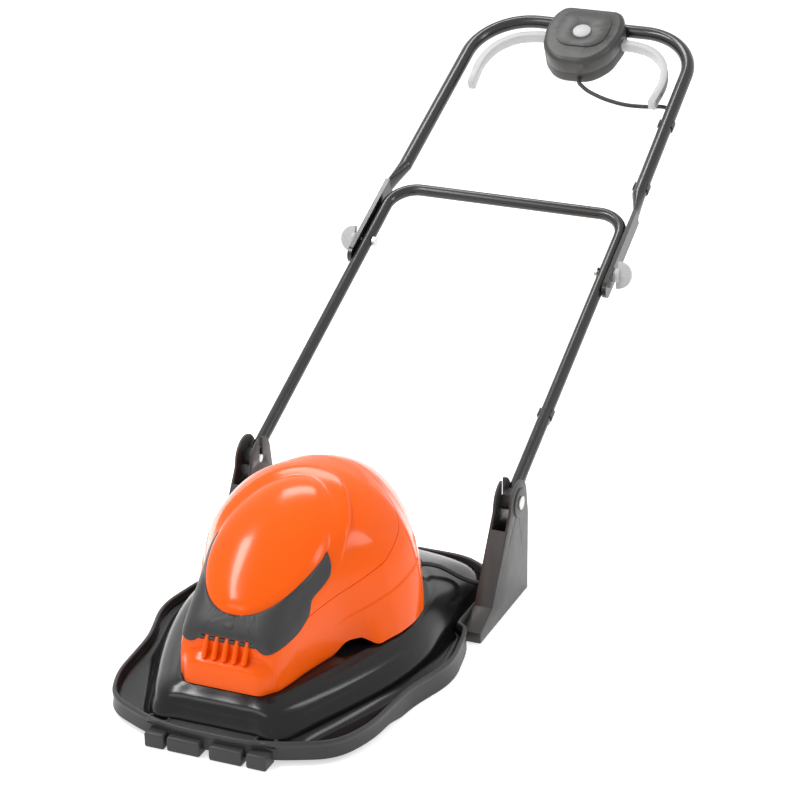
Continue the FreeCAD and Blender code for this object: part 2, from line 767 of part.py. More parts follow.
def make_pulley(name, seat, shaft_size, web, place):
    """A belt pulley: a seat between two flanges, round a bore."""
    flange = "%s + 2 * sizes.flange_deep" % seat
    low = cylinder(name + "_low", flange, "sizes.flange_high", place("sizes.belt_z"))
    high = cylinder(name + "_high", flange, "sizes.flange_high",
                    place("sizes.belt_z + sizes.pulley_high - sizes.flange_high"))
    middle = cylinder(name + "_seat", seat, "sizes.pulley_high", place("sizes.belt_z"))
    solid = fuse(name + "_solid", [low, high, middle])
    drilled = cut(name + "_bored", solid,
                  cylinder(name + "_bore", shaft_size, "sizes.pulley_high", place("sizes.belt_z")))
    if not web:
        return drilled
    recess = cylinder(name + "_recess", "%s - 12" % seat, "sizes.pulley_high - 5", place("sizes.belt_z + 5"))
    keep = cylinder(name + "_hub", "%s + 14" % shaft_size, "sizes.pulley_high - 5", place("sizes.belt_z + 5"))
    return cut(name, drilled, cut(name + "_hollow", recess, keep))


node(make_pulley("driven_pulley", "sizes.pulley_d", "sizes.shaft_d", True, at_spindle), "driven_pulley")
nut = primitive("Prism", "nut_body", {"Circumradius": "sizes.shaft_d * 0.95", "Height": "7"},
                at_spindle("sizes.belt_z + sizes.pulley_high"))
node(cut("spindle_nut", nut, cylinder("nut_bore", "sizes.shaft_d", "7",
                                      at_spindle("sizes.belt_z + sizes.pulley_high"))), "spindle_nut")


def make_housing():
    """The bearing housing: a flange ring on the dome, four spokes and a hub."""
    spindle = Vector(0, pivot_y - size("spindle_ahead"), 0)
    top = size("dome_z")
    outer_r = size("intake_d") / 2 + 10
    flange = Part.makeCylinder(outer_r, 4, Vector(0, 0, top))
    flange = flange.cut(Part.makeCylinder(size("intake_d") / 2 - 4, 4, Vector(0, 0, top)))
    hub = Part.makeCylinder(size("hub_d") / 2, size("hub_high"), Vector(0, 0, size("hub_low")))
    solid = flange.fuse(hub)
    for i in range(4):
        spoke = Part.makeBox(outer_r - 4, 8, 10, Vector(0, -4, top - 6))
        rest = Part.makeBox(14, 10, 7, Vector(outer_r - 15, -5, top - 7))
        spoke = spoke.cut(rest)
        spoke.rotate(Vector(0, 0, 0), Vector(0, 0, 1), 45 + 90 * i)
        solid = solid.fuse(spoke)
    bore = Part.makeCylinder(size("shaft_d") / 2 + 2.5, 200, Vector(0, 0, 0))
    solid = solid.cut(bore)
    for low in (size("hub_low"), size("hub_low") + size("hub_high") - size("bearing_high")):
        seat = Part.makeCylinder(size("bearing_d") / 2, size("bearing_high"), Vector(0, 0, low))
        solid = solid.cut(seat)
    for i in range(4):
        way = math.radians(90 * i)
        reach = outer_r - 5
        hole = Part.makeCylinder(2.6, 20, Vector(reach * math.cos(way), reach * math.sin(way), top - 2))
        solid = solid.cut(hole)
    solid.translate(spindle)
    return solid


node(feature("spindle_housing", make_housing()), "spindle_housing")
bearings = []
for i, low in enumerate(("sizes.hub_low", "sizes.hub_low + sizes.hub_high - sizes.bearing_high")):
    bearings.append(ring("spindle_bearing_%d" % (i + 1), "sizes.bearing_d",
                         "sizes.shaft_d + 2 * sizes.running", "sizes.bearing_high", at_spindle(low)))
node(bearings[0], "spindle_bearing_lower")
node(bearings[1], "spindle_bearing_upper")


def screw(place, way, shank_d, shank, head_d, head):
    """A pan head screw: its head's seat is at the place and its shank runs along the way."""
    axis = Vector(*way)
    point = Vector(*place)
    body = Part.makeCylinder(shank_d / 2, shank, point, axis)
    return body.fuse(Part.makeCylinder(head_d / 2, head, point - axis * head, axis))


def screws(name, places, way, shank_d, shank, head_d, head):
    """Identical screws as separate solids of one sub-part."""
    solids = [screw(place, way, shank_d, shank, head_d, head) for place in places]
    return feature(name, Part.makeCompound(solids))


housing_screws = [(x, y, size("dome_z") + 4) for x, y in housing_screw_places()]
node(screws("housing_screws", housing_screws, (0, 0, -1), size("screw_d") - 0.4, 7, 9, 3), "housing_screws")
hood_screws = [(x, pivot_y + y, size("dome_z") - size("deck_wall")) for x, y in HOOD_SCREWS]
node(screws("hood_screws", hood_screws, (0, 0, 1), size("screw_d") - 0.4, 20, 9, 3), "hood_screws")


# Motor, its bridge and the belt

MOTOR = "sizes.pivot_y - sizes.motor_ahead"


def at_motor(height):
    """A place on the motor's axis."""
    return ("0", MOTOR, height)


def make_bridge():
    """The plate that carries the motor over the belt, on four legs."""
    corners = bridge_corners()
    low_x, low_y = corners[0]
    high_x, high_y = corners[-1]
    top = size("bridge_z")
    foot = BRIDGE_FOOT
    plate = Part.makeBox(high_x + foot - low_x, high_y + foot - low_y, size("bridge_thick"),
                         Vector(low_x, low_y, top))
    for x, y in corners:
        plate = plate.fuse(Part.makeBox(foot, foot, top - size("dome_z"), Vector(x, y, size("dome_z"))))
    for x, y in bridge_screw_places():
        plate = plate.cut(Part.makeCylinder(size("screw_d") / 2, 20, Vector(x, y, size("dome_z"))))
    well = Part.makeCylinder(12, 40, Vector(0, pivot_y - size("motor_ahead"), top - 10))
    nut_well = Part.makeCylinder(14, 40, Vector(0, pivot_y - size("spindle_ahead"), top - 10))
    window = Part.makeBox(44, 26, 40, Vector(-22, pivot_y - size("spindle_ahead") + 24, top - 10))
    plate = plate.cut(well).cut(nut_well).cut(window)
    for x, y in motor_screw_places():
        plate = plate.cut(Part.makeCylinder(size("motor_screw_d") / 2, 20, Vector(x, y, top - 5)))
    return plate


def motor_screw_places():
    """Three screws up into the motor's lower end bracket."""
    reach = size("stator_d") / 2 - 2
    y = pivot_y - size("motor_ahead")
    return [(reach * math.cos(math.radians(a)), y + reach * math.sin(math.radians(a))) for a in (60, 180, 300)]


node(feature("motor_bridge", make_bridge()), "motor_bridge")
bridge_screws = [(x, y, size("dome_z") - size("deck_wall")) for x, y in bridge_screw_places()]
node(screws("bridge_screws", bridge_screws, (0, 0, 1), size("screw_d") - 0.4, 20, 9, 3), "bridge_screws")
bracket_z = "sizes.bridge_z + sizes.bridge_thick"
stator_z = bracket_z + " + sizes.end_ring_high"
upper_z = stator_z + " + sizes.stator_high"


def end_bracket(name, low, height, seat_low, disc_low, disc_high):
    """A motor end bracket: a cup with a bearing seat in its middle."""
    cup = cylinder(name + "_cup", "sizes.stator_d", height, at_motor(low))
    room = cylinder(name + "_room", "sizes.stator_d - 8", disc_high, at_motor(disc_low))
    hollow = cut(name + "_hollow", cup, room)
    seat = cylinder(name + "_seat", "sizes.motor_bearing_d", "sizes.motor_bearing_high", at_motor(seat_low))
    hole = cylinder(name + "_hole", "sizes.motor_shaft_d + 4", height, at_motor(low))
    return cut(name, cut(name + "_seated", hollow, seat), hole)


LOWER_SEAT = bracket_z
lower_bracket = end_bracket("lower_end", bracket_z, "sizes.end_ring_high", LOWER_SEAT,
                            bracket_z + " + sizes.motor_bearing_high + 1", "sizes.end_ring_high")
motor_holes = []
for i, (x, y) in enumerate(motor_screw_places()):
    motor_holes.append(cylinder("motor_hole_%d" % (i + 1), "sizes.motor_screw_d", "10",
                                (str(x), "sizes.pivot_y + %s" % (y - pivot_y), bracket_z)))
node(cut("motor_bracket_drilled", lower_bracket, fuse("motor_holes", motor_holes)), "motor_bracket_lower")
motor_screws = [(x, y, size("bridge_z")) for x, y in motor_screw_places()]
node(screws("motor_screws", motor_screws, (0, 0, 1), size("motor_screw_d"), size("bridge_thick") + 10, 6.5, 2.4),
     "motor_screws")
upper_seat = upper_z + " + sizes.top_ring_high - sizes.motor_bearing_high"
node(end_bracket("motor_bracket_upper", upper_z, "sizes.top_ring_high", upper_seat, upper_z,
                 "sizes.top_ring_high - sizes.motor_bearing_high - 1"), "motor_bracket_upper")
node(ring("stator", "sizes.stator_d", "sizes.stator_bore", "sizes.stator_high", at_motor(stator_z)), "stator")
motor_bearing_pieces = []
for i, low in enumerate((LOWER_SEAT, upper_seat)):
    motor_bearing_pieces.append(ring("motor_bearing_%d" % (i + 1), "sizes.motor_bearing_d",
                                     "sizes.motor_shaft_d + 2 * sizes.running", "sizes.motor_bearing_high",
                                     at_motor(low)))
node(group("motor_bearings", motor_bearing_pieces), "motor_bearings")

shaft_top = upper_z + " + sizes.top_ring_high - 1"
node(cylinder("motor_shaft", "sizes.motor_shaft_d", "(%s) - sizes.belt_z + 3" % shaft_top,
              at_motor("sizes.belt_z - 3")), "motor_shaft")
node(make_pulley("drive_pulley", "sizes.pinion_d", "sizes.motor_shaft_d", False, at_motor), "drive_pulley")
armature = fuse("armature_solid", [
    cylinder("armature_core", "sizes.armature_d", "sizes.stator_high", at_motor(stator_z)),
    cylinder("armature_turns", "sizes.armature_d - 8", "sizes.stator_high + 11", at_motor(stator_z + " - 4")),
])
node(cut("armature", armature, cylinder("armature_bore", "sizes.motor_shaft_d", "sizes.stator_high + 40",
                                        at_motor(stator_z + " - 20"))), "armature")
commutator_z = upper_z + " + 7.5"
node(ring("commutator", "sizes.commutator_d", "sizes.motor_shaft_d", "10", at_motor(commutator_z)),
     "commutator")
brushes = []
for side in (-1, 1):
    inner = "sizes.commutator_d / 2 + sizes.gap"
    reach = "(sizes.stator_d - 9) / 2 - (%s)" % inner
    corner = inner if side > 0 else "-(sizes.stator_d - 9) / 2"
    brushes.append(box("brush_%s" % ("right" if side > 0 else "left"), reach, "7", "8",
                       (corner, MOTOR + " - 3.5", commutator_z + " + 1")))
node(group("carbon_brushes", brushes), "carbon_brushes")
fan_low = bracket_z + " + sizes.motor_bearing_high + 1.5"
node(ring("motor_fan", "sizes.stator_d - 12", "sizes.motor_shaft_d", "1.6", at_motor(fan_low)), "motor_fan")


def make_belt():
    """The belt: a flat band round both pulley seats."""
    big = size("pulley_d") / 2 + size("gap")
    small = size("pinion_d") / 2 + size("gap")
    far = size("spindle_ahead") - size("motor_ahead")
    low = size("belt_z") + size("flange_high") + size("gap")
    high = size("pulley_high") - 2 * (size("flange_high") + size("gap"))

    def loop(extra):
        r_big = big + extra
        r_small = small + extra
        slant = math.asin((r_big - r_small) / far)
        y_big = pivot_y - size("spindle_ahead")
        y_small = pivot_y - size("motor_ahead")
        c = math.cos(slant)
        s = math.sin(slant)
        big_right = Vector(r_big * c, y_big + r_big * s, low)
        small_right = Vector(r_small * c, y_small + r_small * s, low)
        big_left = Vector(-r_big * c, y_big + r_big * s, low)
        small_left = Vector(-r_small * c, y_small + r_small * s, low)
        edges = [
            Part.makeLine(big_right, small_right),
            Part.Arc(small_right, Vector(0, y_small + r_small, low), small_left).toShape(),
            Part.makeLine(small_left, big_left),
            Part.Arc(big_left, Vector(0, y_big - r_big, low), big_right).toShape(),
        ]
        return Part.Face(Part.Wire(edges))
    band = loop(size("belt_thick")).cut(loop(0))
    return band.extrude(Vector(0, 0, high))


node(feature("drive_belt", make_belt()), "drive_belt")


# Handle brackets: a fork on each side of the deck's tail, open at the top and front

def bracket_side(inset):
    """The bracket's side outline: rounded about the pivot, slanted in front, with a toe."""
    r = size("bracket_round") - inset
    back = 40 - inset
    pts = [
        (-150 + inset, 0),
        (-150 + inset, 16 - inset),
        (-104 + inset, 34 - inset),
        (-35 + inset * 0.9, 150),
    ]
    arc_start = Vector(0, pivot_y - r * math.cos(0.2), pivot_z + r * math.sin(0.2))
    arc_top = Vector(0, pivot_y, pivot_z + r)
    arc_end = Vector(0, pivot_y + r * math.cos(0.1), pivot_z + r * math.sin(0.1))
    corners = [Vector(0, pivot_y + y, z) for y, z in pts]
    tail = [Vector(0, pivot_y + back, pivot_z - 30), Vector(0, pivot_y + back + 3, 0)]
    edges = [Part.makeLine(corners[i], corners[i + 1]) for i in range(3)]
    edges.append(Part.makeLine(corners[3], arc_start))
    edges.append(Part.Arc(arc_start, arc_top, arc_end).toShape())
    edges.append(Part.makeLine(arc_end, tail[0]))
    edges.append(Part.makeLine(tail[0], tail[1]))
    edges.append(Part.makeLine(tail[1], corners[0]))
    return Part.Face(Part.Wire(edges))


def make_bracket():
    """The right bracket: two cheeks with a front wall, a rear wall and a closed toe."""
    inner = size("bracket_inner")
    wide = size("bracket_wide")
    cheek = size("cheek")
    solid = bracket_side(0).extrude(Vector(wide, 0, 0))
    solid.translate(Vector(inner, 0, 0))
    room = prism([(inner + cheek, pivot_y - 98, 30), (inner + cheek, pivot_y - 47, 126),
                  (inner + cheek, pivot_y - 47, 200), (inner + cheek, pivot_y + 60, 200),
                  (inner + cheek, pivot_y + 60, 112), (inner + cheek, pivot_y + 37, 106),
                  (inner + cheek, pivot_y + 37, 30)], (wide - 2 * cheek, 0, 0))
    solid = solid.cut(room)
    front_open = Part.makeBox(wide - 2 * cheek, 120, 80, Vector(inner + cheek, pivot_y - 120, 132))
    under = Part.makeBox(wide - 2 * cheek, 183, 27, Vector(inner + cheek, pivot_y - 146, -1))
    solid = solid.cut(front_open).cut(under.common(toe_room()))
    boss = Part.makeCylinder(size("boss_d") / 2, 2.5, Vector(inner + wide - 0.01, pivot_y, pivot_z),
                             Vector(1, 0, 0))
    solid = solid.fuse(boss)
    # the stop under the pivot plug, on the inner cheek
    stop = Part.makeBox(size("stop_wide"), 6.5, 10, Vector(inner + cheek - 0.5, 0, -10))
    stop.translate(Vector(0, 9.5, -size("lower_d") / 2 - size("gap")))
    stop.Placement = HANDLE.multiply(stop.Placement)
    solid = solid.fuse(stop)
    hole = Part.makeCylinder(size("pin_d") / 2, 80, Vector(inner - 20, pivot_y, pivot_z), Vector(1, 0, 0))
    slot = Part.makeBox(cheek, 11, 60, Vector(inner, pivot_y - 5.5, pivot_z))
    solid = solid.cut(hole).cut(slot)
    for y in BRACKET_SCREWS:
        start = Vector(inner - 5, pivot_y + y, size("bracket_screw_z"))
        solid = solid.cut(Part.makeCylinder(size("screw_d") / 2 + size("gap"), cheek + 6, start, Vector(1, 0, 0)))
    return solid


def toe_room():
    """Room inside the bracket's toe, one wall below its slanted top."""
    inset = size("cheek")
    line = [(-150 + inset, -1), (-150 + inset, 16 - inset), (-104 + inset, 34 - inset), (60, 34 - inset),
            (60, -1)]
    return prism([(0, pivot_y + y, z) for y, z in line], (300, 0, 0))


bracket_shape = make_bracket()
WINDOW_AT = (-58.5, 48.5)
window = Part.makeCylinder(size("cable_window") / 2, 20,
                           Vector(size("bracket_inner") - 8, pivot_y + WINDOW_AT[0], WINDOW_AT[1]),
                           Vector(1, 0, 0))
node(feature("bracket_right", bracket_shape.cut(window)), "bracket_right")
node(feature("bracket_left", mirrored(bracket_shape)), "bracket_left")
bracket_screws = []
for side in (-1, 1):
    for y in BRACKET_SCREWS:
        bracket_screws.append(screw((side * (size("bracket_inner") + size("cheek")), pivot_y + y,
                                     size("bracket_screw_z")), (-side, 0, 0), size("screw_d") - 0.4, 10, 9, 3))
node(feature("bracket_screws", Part.makeCompound(bracket_screws)), "bracket_screws")


def make_pin():
    """A pivot pin through both cheeks, with a flat head on the outer boss."""
    inner = size("bracket_inner")
    wide = size("bracket_wide")
    start = Vector(inner, pivot_y, pivot_z)
    pin = Part.makeCylinder(size("pin_d") / 2, wide + 2.5, start, Vector(1, 0, 0))
    head = Part.makeCylinder(size("pin_d") / 2 + 4, 2.5, start + Vector(wide + 2.5, 0, 0), Vector(1, 0, 0))
    return pin.fuse(head)


pin_shape = make_pin()
node(feature("pivot_pins", Part.makeCompound([pin_shape, mirrored(pin_shape)])), "pivot_pins")


# Lower handle, in the handle's frame

def leg_x(along):
    """The lower leg's distance from the middle plane, at a place up the handle."""
    share = along / size("lower_long")
    return size("lower_half") + share * (size("lower_top_half") - size("lower_half"))


def u_path(start_half, start, top_half, top, bend):
    """A U from the right leg's foot, over the top and down the left leg."""
    points = [(start_half, start, 0), (top_half, top, 0), (-top_half, top, 0), (-start_half, start, 0)]
    return path(points, share=0.49, largest=bend)[0]


def make_lower_tube():
    """The lower handle: a bent tube with a bolt hole through each leg."""
    foot = size("plug_round") + 3
    line = u_path(leg_x(foot), foot, size("lower_top_half"), size("lower_long"), size("lower_bend"))
    r = size("lower_d") / 2
    tube = swept(line, r).cut(swept(line, r - size("tube_wall")))
    drill = Part.makeCylinder(size("bolt_d") / 2, 600, Vector(-300, size("bolt_up"), 0), Vector(1, 0, 0))
    return tube.cut(drill)


node(feature("lower_tube", make_lower_tube()), "lower_tube", HANDLE)


def make_plug():
    """A pivot plug: a rounded block on the pin, with a spigot up inside the tube."""
    r = size("plug_round")
    wide = size("plug_wide")
    x = size("lower_half")
    block = Part.makeCylinder(r, wide, Vector(x - wide / 2, 0, 0), Vector(1, 0, 0))
    block = block.fuse(Part.makeBox(wide, r + 2.7, size("lower_d"),
                                    Vector(x - wide / 2, 0, -size("lower_d") / 2)))
    foot = size("plug_round") + 2.7
    way = Vector(leg_x(100) - leg_x(0), 100, 0).normalize()
    spigot = Part.makeCylinder(size("lower_d") / 2 - size("tube_wall") - 0.1, 36,
                               Vector(leg_x(foot), foot, 0) - way, way)
    hole = Part.makeCylinder(size("pin_d") / 2 + size("running"), 60, Vector(x - 30, 0, 0), Vector(1, 0, 0))
    return block.fuse(spigot).cut(hole)


plug_shape = make_plug()
node(feature("pivot_plug_right", plug_shape), "pivot_plug_right", HANDLE)
node(feature("pivot_plug_left", mirrored(plug_shape)), "pivot_plug_left", HANDLE)


# Upper handle

def flat_x(along):
    """Middle of the flattened leg, just outside the lower leg."""
    return leg_x(along) + size("lower_d") / 2 + size("gap") + size("flat_thick") / 2


def oval(centre, across, half_x, half_z):
    """An ellipse across the leg, taller along Z than across, as two halves from its front."""
    front = centre + Vector(0, 0, half_z)
    ellipse = Part.Ellipse(front, centre + across * half_x, centre)
    halves = [Part.ArcOfEllipse(ellipse, 0, math.pi), Part.ArcOfEllipse(ellipse, math.pi, 2 * math.pi)]
    return Part.Wire([half.toShape() for half in halves])


def round_end(centre, across, r):
    """A circle across the leg, as two halves from its front."""
    front = centre + Vector(0, 0, r)
    back = centre - Vector(0, 0, r)
    return Part.Wire([Part.Arc(front, centre + across * r, back).toShape(),
                      Part.Arc(back, centre - across * r, front).toShape()])


def make_flat_leg():
    """The right leg's pressed end: a flat bar with a round tip that swells to the tube."""
    low = size("flat_from")
    high = size("flat_to")
    thick = size("flat_thick")
    wide = size("flat_wide")
    centre = Vector(flat_x(low + wide / 2), low + wide / 2, 0)
    far = Vector(flat_x(high), high, 0)
    way = (far - centre).normalize()
    across = Vector(way.y, -way.x, 0)
    tip = Part.makeCylinder(wide / 2, thick, centre - across * (thick / 2), across)
    corner = centre - across * (thick / 2) - Vector(0, 0, wide / 2)
    length = (far - centre).Length
    face = Part.makePolygon([corner, corner + across * thick, corner + across * thick + way * length,
                             corner + way * length, corner])
    bar = Part.Face(face).extrude(Vector(0, 0, wide))
    top = Vector(size("upper_half"), size("round_from"), 0)
    top_way = (Vector(size("upper_top_half"), size("upper_long"), 0) - top).normalize()
    top_across = Vector(top_way.y, -top_way.x, 0)
    swell = Part.makeLoft([oval(far - way * 4, across, thick / 2 - 0.2, wide / 2 - 0.2),
                           round_end(top, top_across, size("upper_d") / 2)], True, True)
    return tip.fuse(bar).fuse(swell)


def make_upper_tube():
    """The upper handle: a bent tube whose legs end in flattened bars."""
    line = u_path(size("upper_half"), size("round_from"), size("upper_top_half"), size("upper_long"),
                  size("bow_bend"))
    r = size("upper_d") / 2
    tube = swept(line, r).cut(swept(line, r - size("tube_wall")))
    leg = make_flat_leg()
    drill = Part.makeCylinder(size("bolt_d") / 2 + size("running"), 600,
                              Vector(-300, size("bolt_up"), 0), Vector(1, 0, 0))
    return tube.fuse(leg).fuse(mirrored(leg)).cut(drill)


node(feature("upper_tube", make_upper_tube()), "upper_tube", HANDLE)


# Fold bolts and wing knobs

joint_x = flat_x(size("bolt_up")) + size("flat_thick") / 2
bolt_head_x = leg_x(size("bolt_up")) - size("lower_d") / 2


def make_fold_bolt():
    """A round headed bolt through both legs, right side."""
    start = Vector(bolt_head_x, size("bolt_up"), 0)
    way = Vector(1, 0, 0)
    head = Part.makeCylinder(8, 4.5, start - way * (4.5 + size("gap")), way)
    return head.fuse(Part.makeCylinder(size("bolt_d") / 2, 45, start - way, way))


fold_bolt = make_fold_bolt()
node(feature("fold_bolts", Part.makeCompound([fold_bolt, mirrored(fold_bolt)])), "fold_bolts", HANDLE)
washer = Part.makeCylinder(10, 1.5, Vector(joint_x + size("gap"), size("bolt_up"), 0), Vector(1, 0, 0))
washer = washer.cut(Part.makeCylinder(size("bolt_d") / 2 + size("running"), 10,
                                      Vector(joint_x - 1, size("bolt_up"), 0), Vector(1, 0, 0)))
node(feature("fold_washers", Part.makeCompound([washer, mirrored(washer)])), "fold_washers", HANDLE)


def make_knob():
    """A wing knob: a round base with a half disc wing, on the fold bolt's end."""
    x = joint_x + 2 * size("gap") + 1.5
    centre = Vector(x, size("bolt_up"), 0)
    way = Vector(1, 0, 0)
    base = Part.makeCylinder(size("knob_d") / 2, 7, centre, way)
    half = size("wing_long") / 2
    thick = size("wing_thick")
    reach = 26
    points = [Vector(x + 3, -half, 0), Vector(x + reach, 0, 0), Vector(x + 3, half, 0)]
    edges = [Part.Arc(*points).toShape(), Part.makeLine(points[2], points[0])]
    wing = Part.Face(Part.Wire(edges)).extrude(Vector(0, 0, thick))
    wing.translate(Vector(0, size("bolt_up"), -thick / 2))
    wing.rotate(Vector(0, size("bolt_up"), 0), way, 50)
    knob = base.fuse(wing)
    bore = Part.makeCylinder(size("bolt_d") / 2 + size("running"), 60, centre - way, way)
    stop = Part.makeCylinder(40, 60, Vector(bolt_head_x + 44 + 0.5, size("bolt_up"), 0), way)
    return knob.cut(bore.cut(stop))


knob_shape = make_knob()
node(feature("wing_knob_right", knob_shape), "wing_knob_right", HANDLE)
node(feature("wing_knob_left", mirrored(knob_shape)), "wing_knob_left", HANDLE)


# Switch box on the bow

def box_outline():
    """The box seen from its front: flat at the top, round below."""
    low = size("box_from")
    high = size("box_to")
    half = size("box_half")
    right = [(30, low), (half - 8, low + 34), (half, low + 80), (half - 4, high - 22), (half - 18, high)]
    points = [(x, y, 0) for x, y in both_sides(right)]
    return path(points, closed=True, share=0.45, largest=60)[0]


def tunnel(extra):
    """Room for the bow's straight run and corners through the box."""
    line = u_path(size("upper_half"), size("round_from"), size("upper_top_half"), size("upper_long"),
                  size("bow_bend"))
    return swept(line, size("upper_d") / 2 + extra)


bow_room = tunnel(size("gap"))


def lever_line():
    """The right lever's middle line, from inside the box, along the bow and down its corner."""
    x = size("lever_pivot_x")
    up = size("lever_pivot_up")
    return [(x, up, 0), (x + 34, up + 2, 0), (x + 74, up - 7, 0), (x + 104, up - 36, 0),
            (x + 117, up - 80, 0), (x + 112, up - 138, 0)]


def lever_band(inner, outer, high):
    """A flat band along the lever's line, between two offsets from it."""
    line = lever_line()
    left = []
    right = []
    for i, point in enumerate(line):
        before = Vector(*line[max(i - 1, 0)])
        after = Vector(*line[min(i + 1, len(line) - 1)])
        way = (after - before).normalize()
        side = Vector(-way.y, way.x, 0)
        here = Vector(*point)
        left.append(here + side * outer)
        right.append(here + side * inner)
    left_wire = path([tuple(p) for p in left])[0]
    right_wire = path([tuple(p) for p in right])[0]
    ends = [Part.makeLine(left[0], right[0]), Part.makeLine(left[-1], right[-1])]
    wire = Part.Wire(Part.__sortEdges__(left_wire.Edges + right_wire.Edges + ends))
    face = Part.Face(wire)
    face.translate(Vector(0, 0, -high / 2))
    return face.extrude(Vector(0, 0, high))


def make_lever():
    """The right switch lever: a channel open towards the bow, with its pivot eye."""
    deep = size("lever_deep")
    wall = size("lever_wall")
    high = size("lever_high")
    solid = lever_band(-deep / 2, deep / 2, high)
    groove = lever_band(-deep / 2 + wall, deep / 2 + 2, high - 2 * wall)
    keep = Part.makeBox(size("box_half") + 12, 300, 60, Vector(0, size("lever_pivot_up") - 150, -30))
    tip = Part.makeBox(200, 9, 60, Vector(100, size("lever_pivot_up") - 142, -30))
    solid = solid.cut(groove.cut(keep).cut(tip))
    eye_at = Vector(size("lever_pivot_x"), size("lever_pivot_up"), -high / 2)
    solid = solid.fuse(Part.makeCylinder(9, high, eye_at))
    return solid.cut(Part.makeCylinder(size("lever_post_d") / 2 + size("running"), 2 * high,
                                       eye_at - Vector(0, 0, 5)))


lever_shape = make_lever()
lever_turn = 5.0


def lever_room():
    """The space that a lever sweeps inside the box wall, with its play."""
    grown = lever_band(-size("lever_deep") / 2 - 2, size("lever_deep") / 2 + 2, size("lever_high") + 1.2)
    turned = grown.copy()
    turned.rotate(Vector(size("lever_pivot_x"), size("lever_pivot_up"), 0), Vector(0, 0, 1), lever_turn + 1)
    return grown.fuse(turned)


lever_space = lever_room()
box_screw_places = [(x, up) for x, up in ((-40, 940), (40, 940), (-30, 1012), (30, 1012))]


def make_box_cover():
    """The front half of the switch box, with its raised panel and the button's hole."""
    high = size("cover_high")
    wall = size("box_wall")
    outline = box_outline()
    solid = slab(outline, 0, high)
    rounded = [edge for edge in solid.Edges if edge.BoundBox.ZMin > high - 0.01]
    solid = solid.makeFillet(9, rounded)
    hollow = slab(outline.makeOffset2D(-wall), -1, high - 9)
    hollow = hollow.fuse(slab(outline.makeOffset2D(-wall - 8), high - 10, high - wall))
    solid = solid.cut(hollow)
    solid = solid.cut(bow_room).cut(lever_space).cut(mirrored(lever_space))
    panel_points = [(24, 950), (42, 966), (46, 1000), (40, 1034)]
    panel = path([(x, y, 0) for x, y in both_sides(panel_points)], closed=True)[0]
    solid = solid.fuse(slab(panel, high - 1, high + 1.6))
    hole = Part.makeCylinder(size("button_d") / 2 + size("gap"), 40, Vector(0, size("button_up"), high - 20))
    solid = solid.cut(hole)
    for x, up in box_screw_places:
        post = Part.makeCylinder(4.2, high - wall + 0.5, Vector(x, up, 0))
        post = post.cut(Part.makeCylinder(1.6, 14, Vector(x, up, -1)))
        solid = solid.fuse(post)
    return solid


node(feature("switch_box_cover", make_box_cover()), "switch_box_cover", HANDLE)


def make_box_base():
    """The rear half of the switch box, with lever posts, the lead's inlet and screw holes."""
    deep = size("base_deep")
    wall = size("box_wall")
    outline = box_outline()
    solid = slab(outline, -deep, 0)
    rounded = [edge for edge in solid.Edges if edge.BoundBox.ZMax < -deep + 0.01]
    solid = solid.makeFillet(9, rounded)
    hollow = slab(outline.makeOffset2D(-wall), -deep + 9, 1)
    hollow = hollow.fuse(slab(outline.makeOffset2D(-wall - 8), -deep + wall, -deep + 10))
    solid = solid.cut(hollow)
    solid = solid.cut(bow_room).cut(lever_space).cut(mirrored(lever_space))
    for side in (-1, 1):
        at = Vector(side * size("lever_pivot_x"), size("lever_pivot_up"), -deep + 1)
        post = Part.makeCylinder(size("lever_post_d") / 2, deep + size("lever_high") / 2, at)
        solid = solid.fuse(post)
    high = size("box_to")
    lobe = Part.makeCylinder(27, 15, Vector(0, high - 12, -deep + 3))
    lobe = lobe.common(Part.makeBox(60, 40, 30, Vector(-30, high - 2.4, -deep)))
    lobe = lobe.cut(bow_room)
    solid = solid.fuse(lobe)
    inlet = Part.makeCylinder(size("inlet_d") / 2, 60, Vector(0, high - 20, -deep + 10.5), Vector(0, 1, 0))
    solid = solid.cut(inlet)
    outlet = Part.makeCylinder(size("cable_d") / 2 + 0.3, 30, Vector(14, size("box_from") - 10, -10),
                               Vector(0, 1, 0))
    solid = solid.cut(outlet)
    for x, up in box_screw_places:
        post = Part.makeCylinder(5.4, deep - 1, Vector(x, up, -deep + 1))
        post = post.cut(bow_room)
        solid = solid.fuse(post).cut(Part.makeCylinder(2.1, deep + 5, Vector(x, up, -deep - 1)))
        solid = solid.cut(Part.makeCylinder(4.4, 5, Vector(x, up, -deep - 1)))
    return solid


node(feature("switch_box_base", make_box_base()), "switch_box_base", HANDLE)
box_screw_list = [(x, up, -size("base_deep") + 4) for x, up in box_screw_places]
node(screws("box_screws", box_screw_list, (0, 0, 1), 3.2, size("base_deep") + 6, 7, 2.5), "box_screws", HANDLE)
node(feature("lever_right", lever_shape), "lever_right", HANDLE)
node(feature("lever_left", mirrored(lever_shape)), "lever_left", HANDLE)


def make_lever_spring():
    """The right lever's torsion spring, as the sleeve of its turns round the post."""
    deep = size("base_deep")
    at = Vector(size("lever_pivot_x"), size("lever_pivot_up"), -deep + size("box_wall"))
    high = deep - size("box_wall") - size("lever_high") / 2 - 0.6
    coil = Part.makeCylinder(7, high, at)
    return coil.cut(Part.makeCylinder(size("lever_post_d") / 2 + 0.3, high, at))


lever_spring = make_lever_spring()
node(feature("lever_springs", Part.makeCompound([lever_spring, mirrored(lever_spring)])), "lever_springs",
     HANDLE)


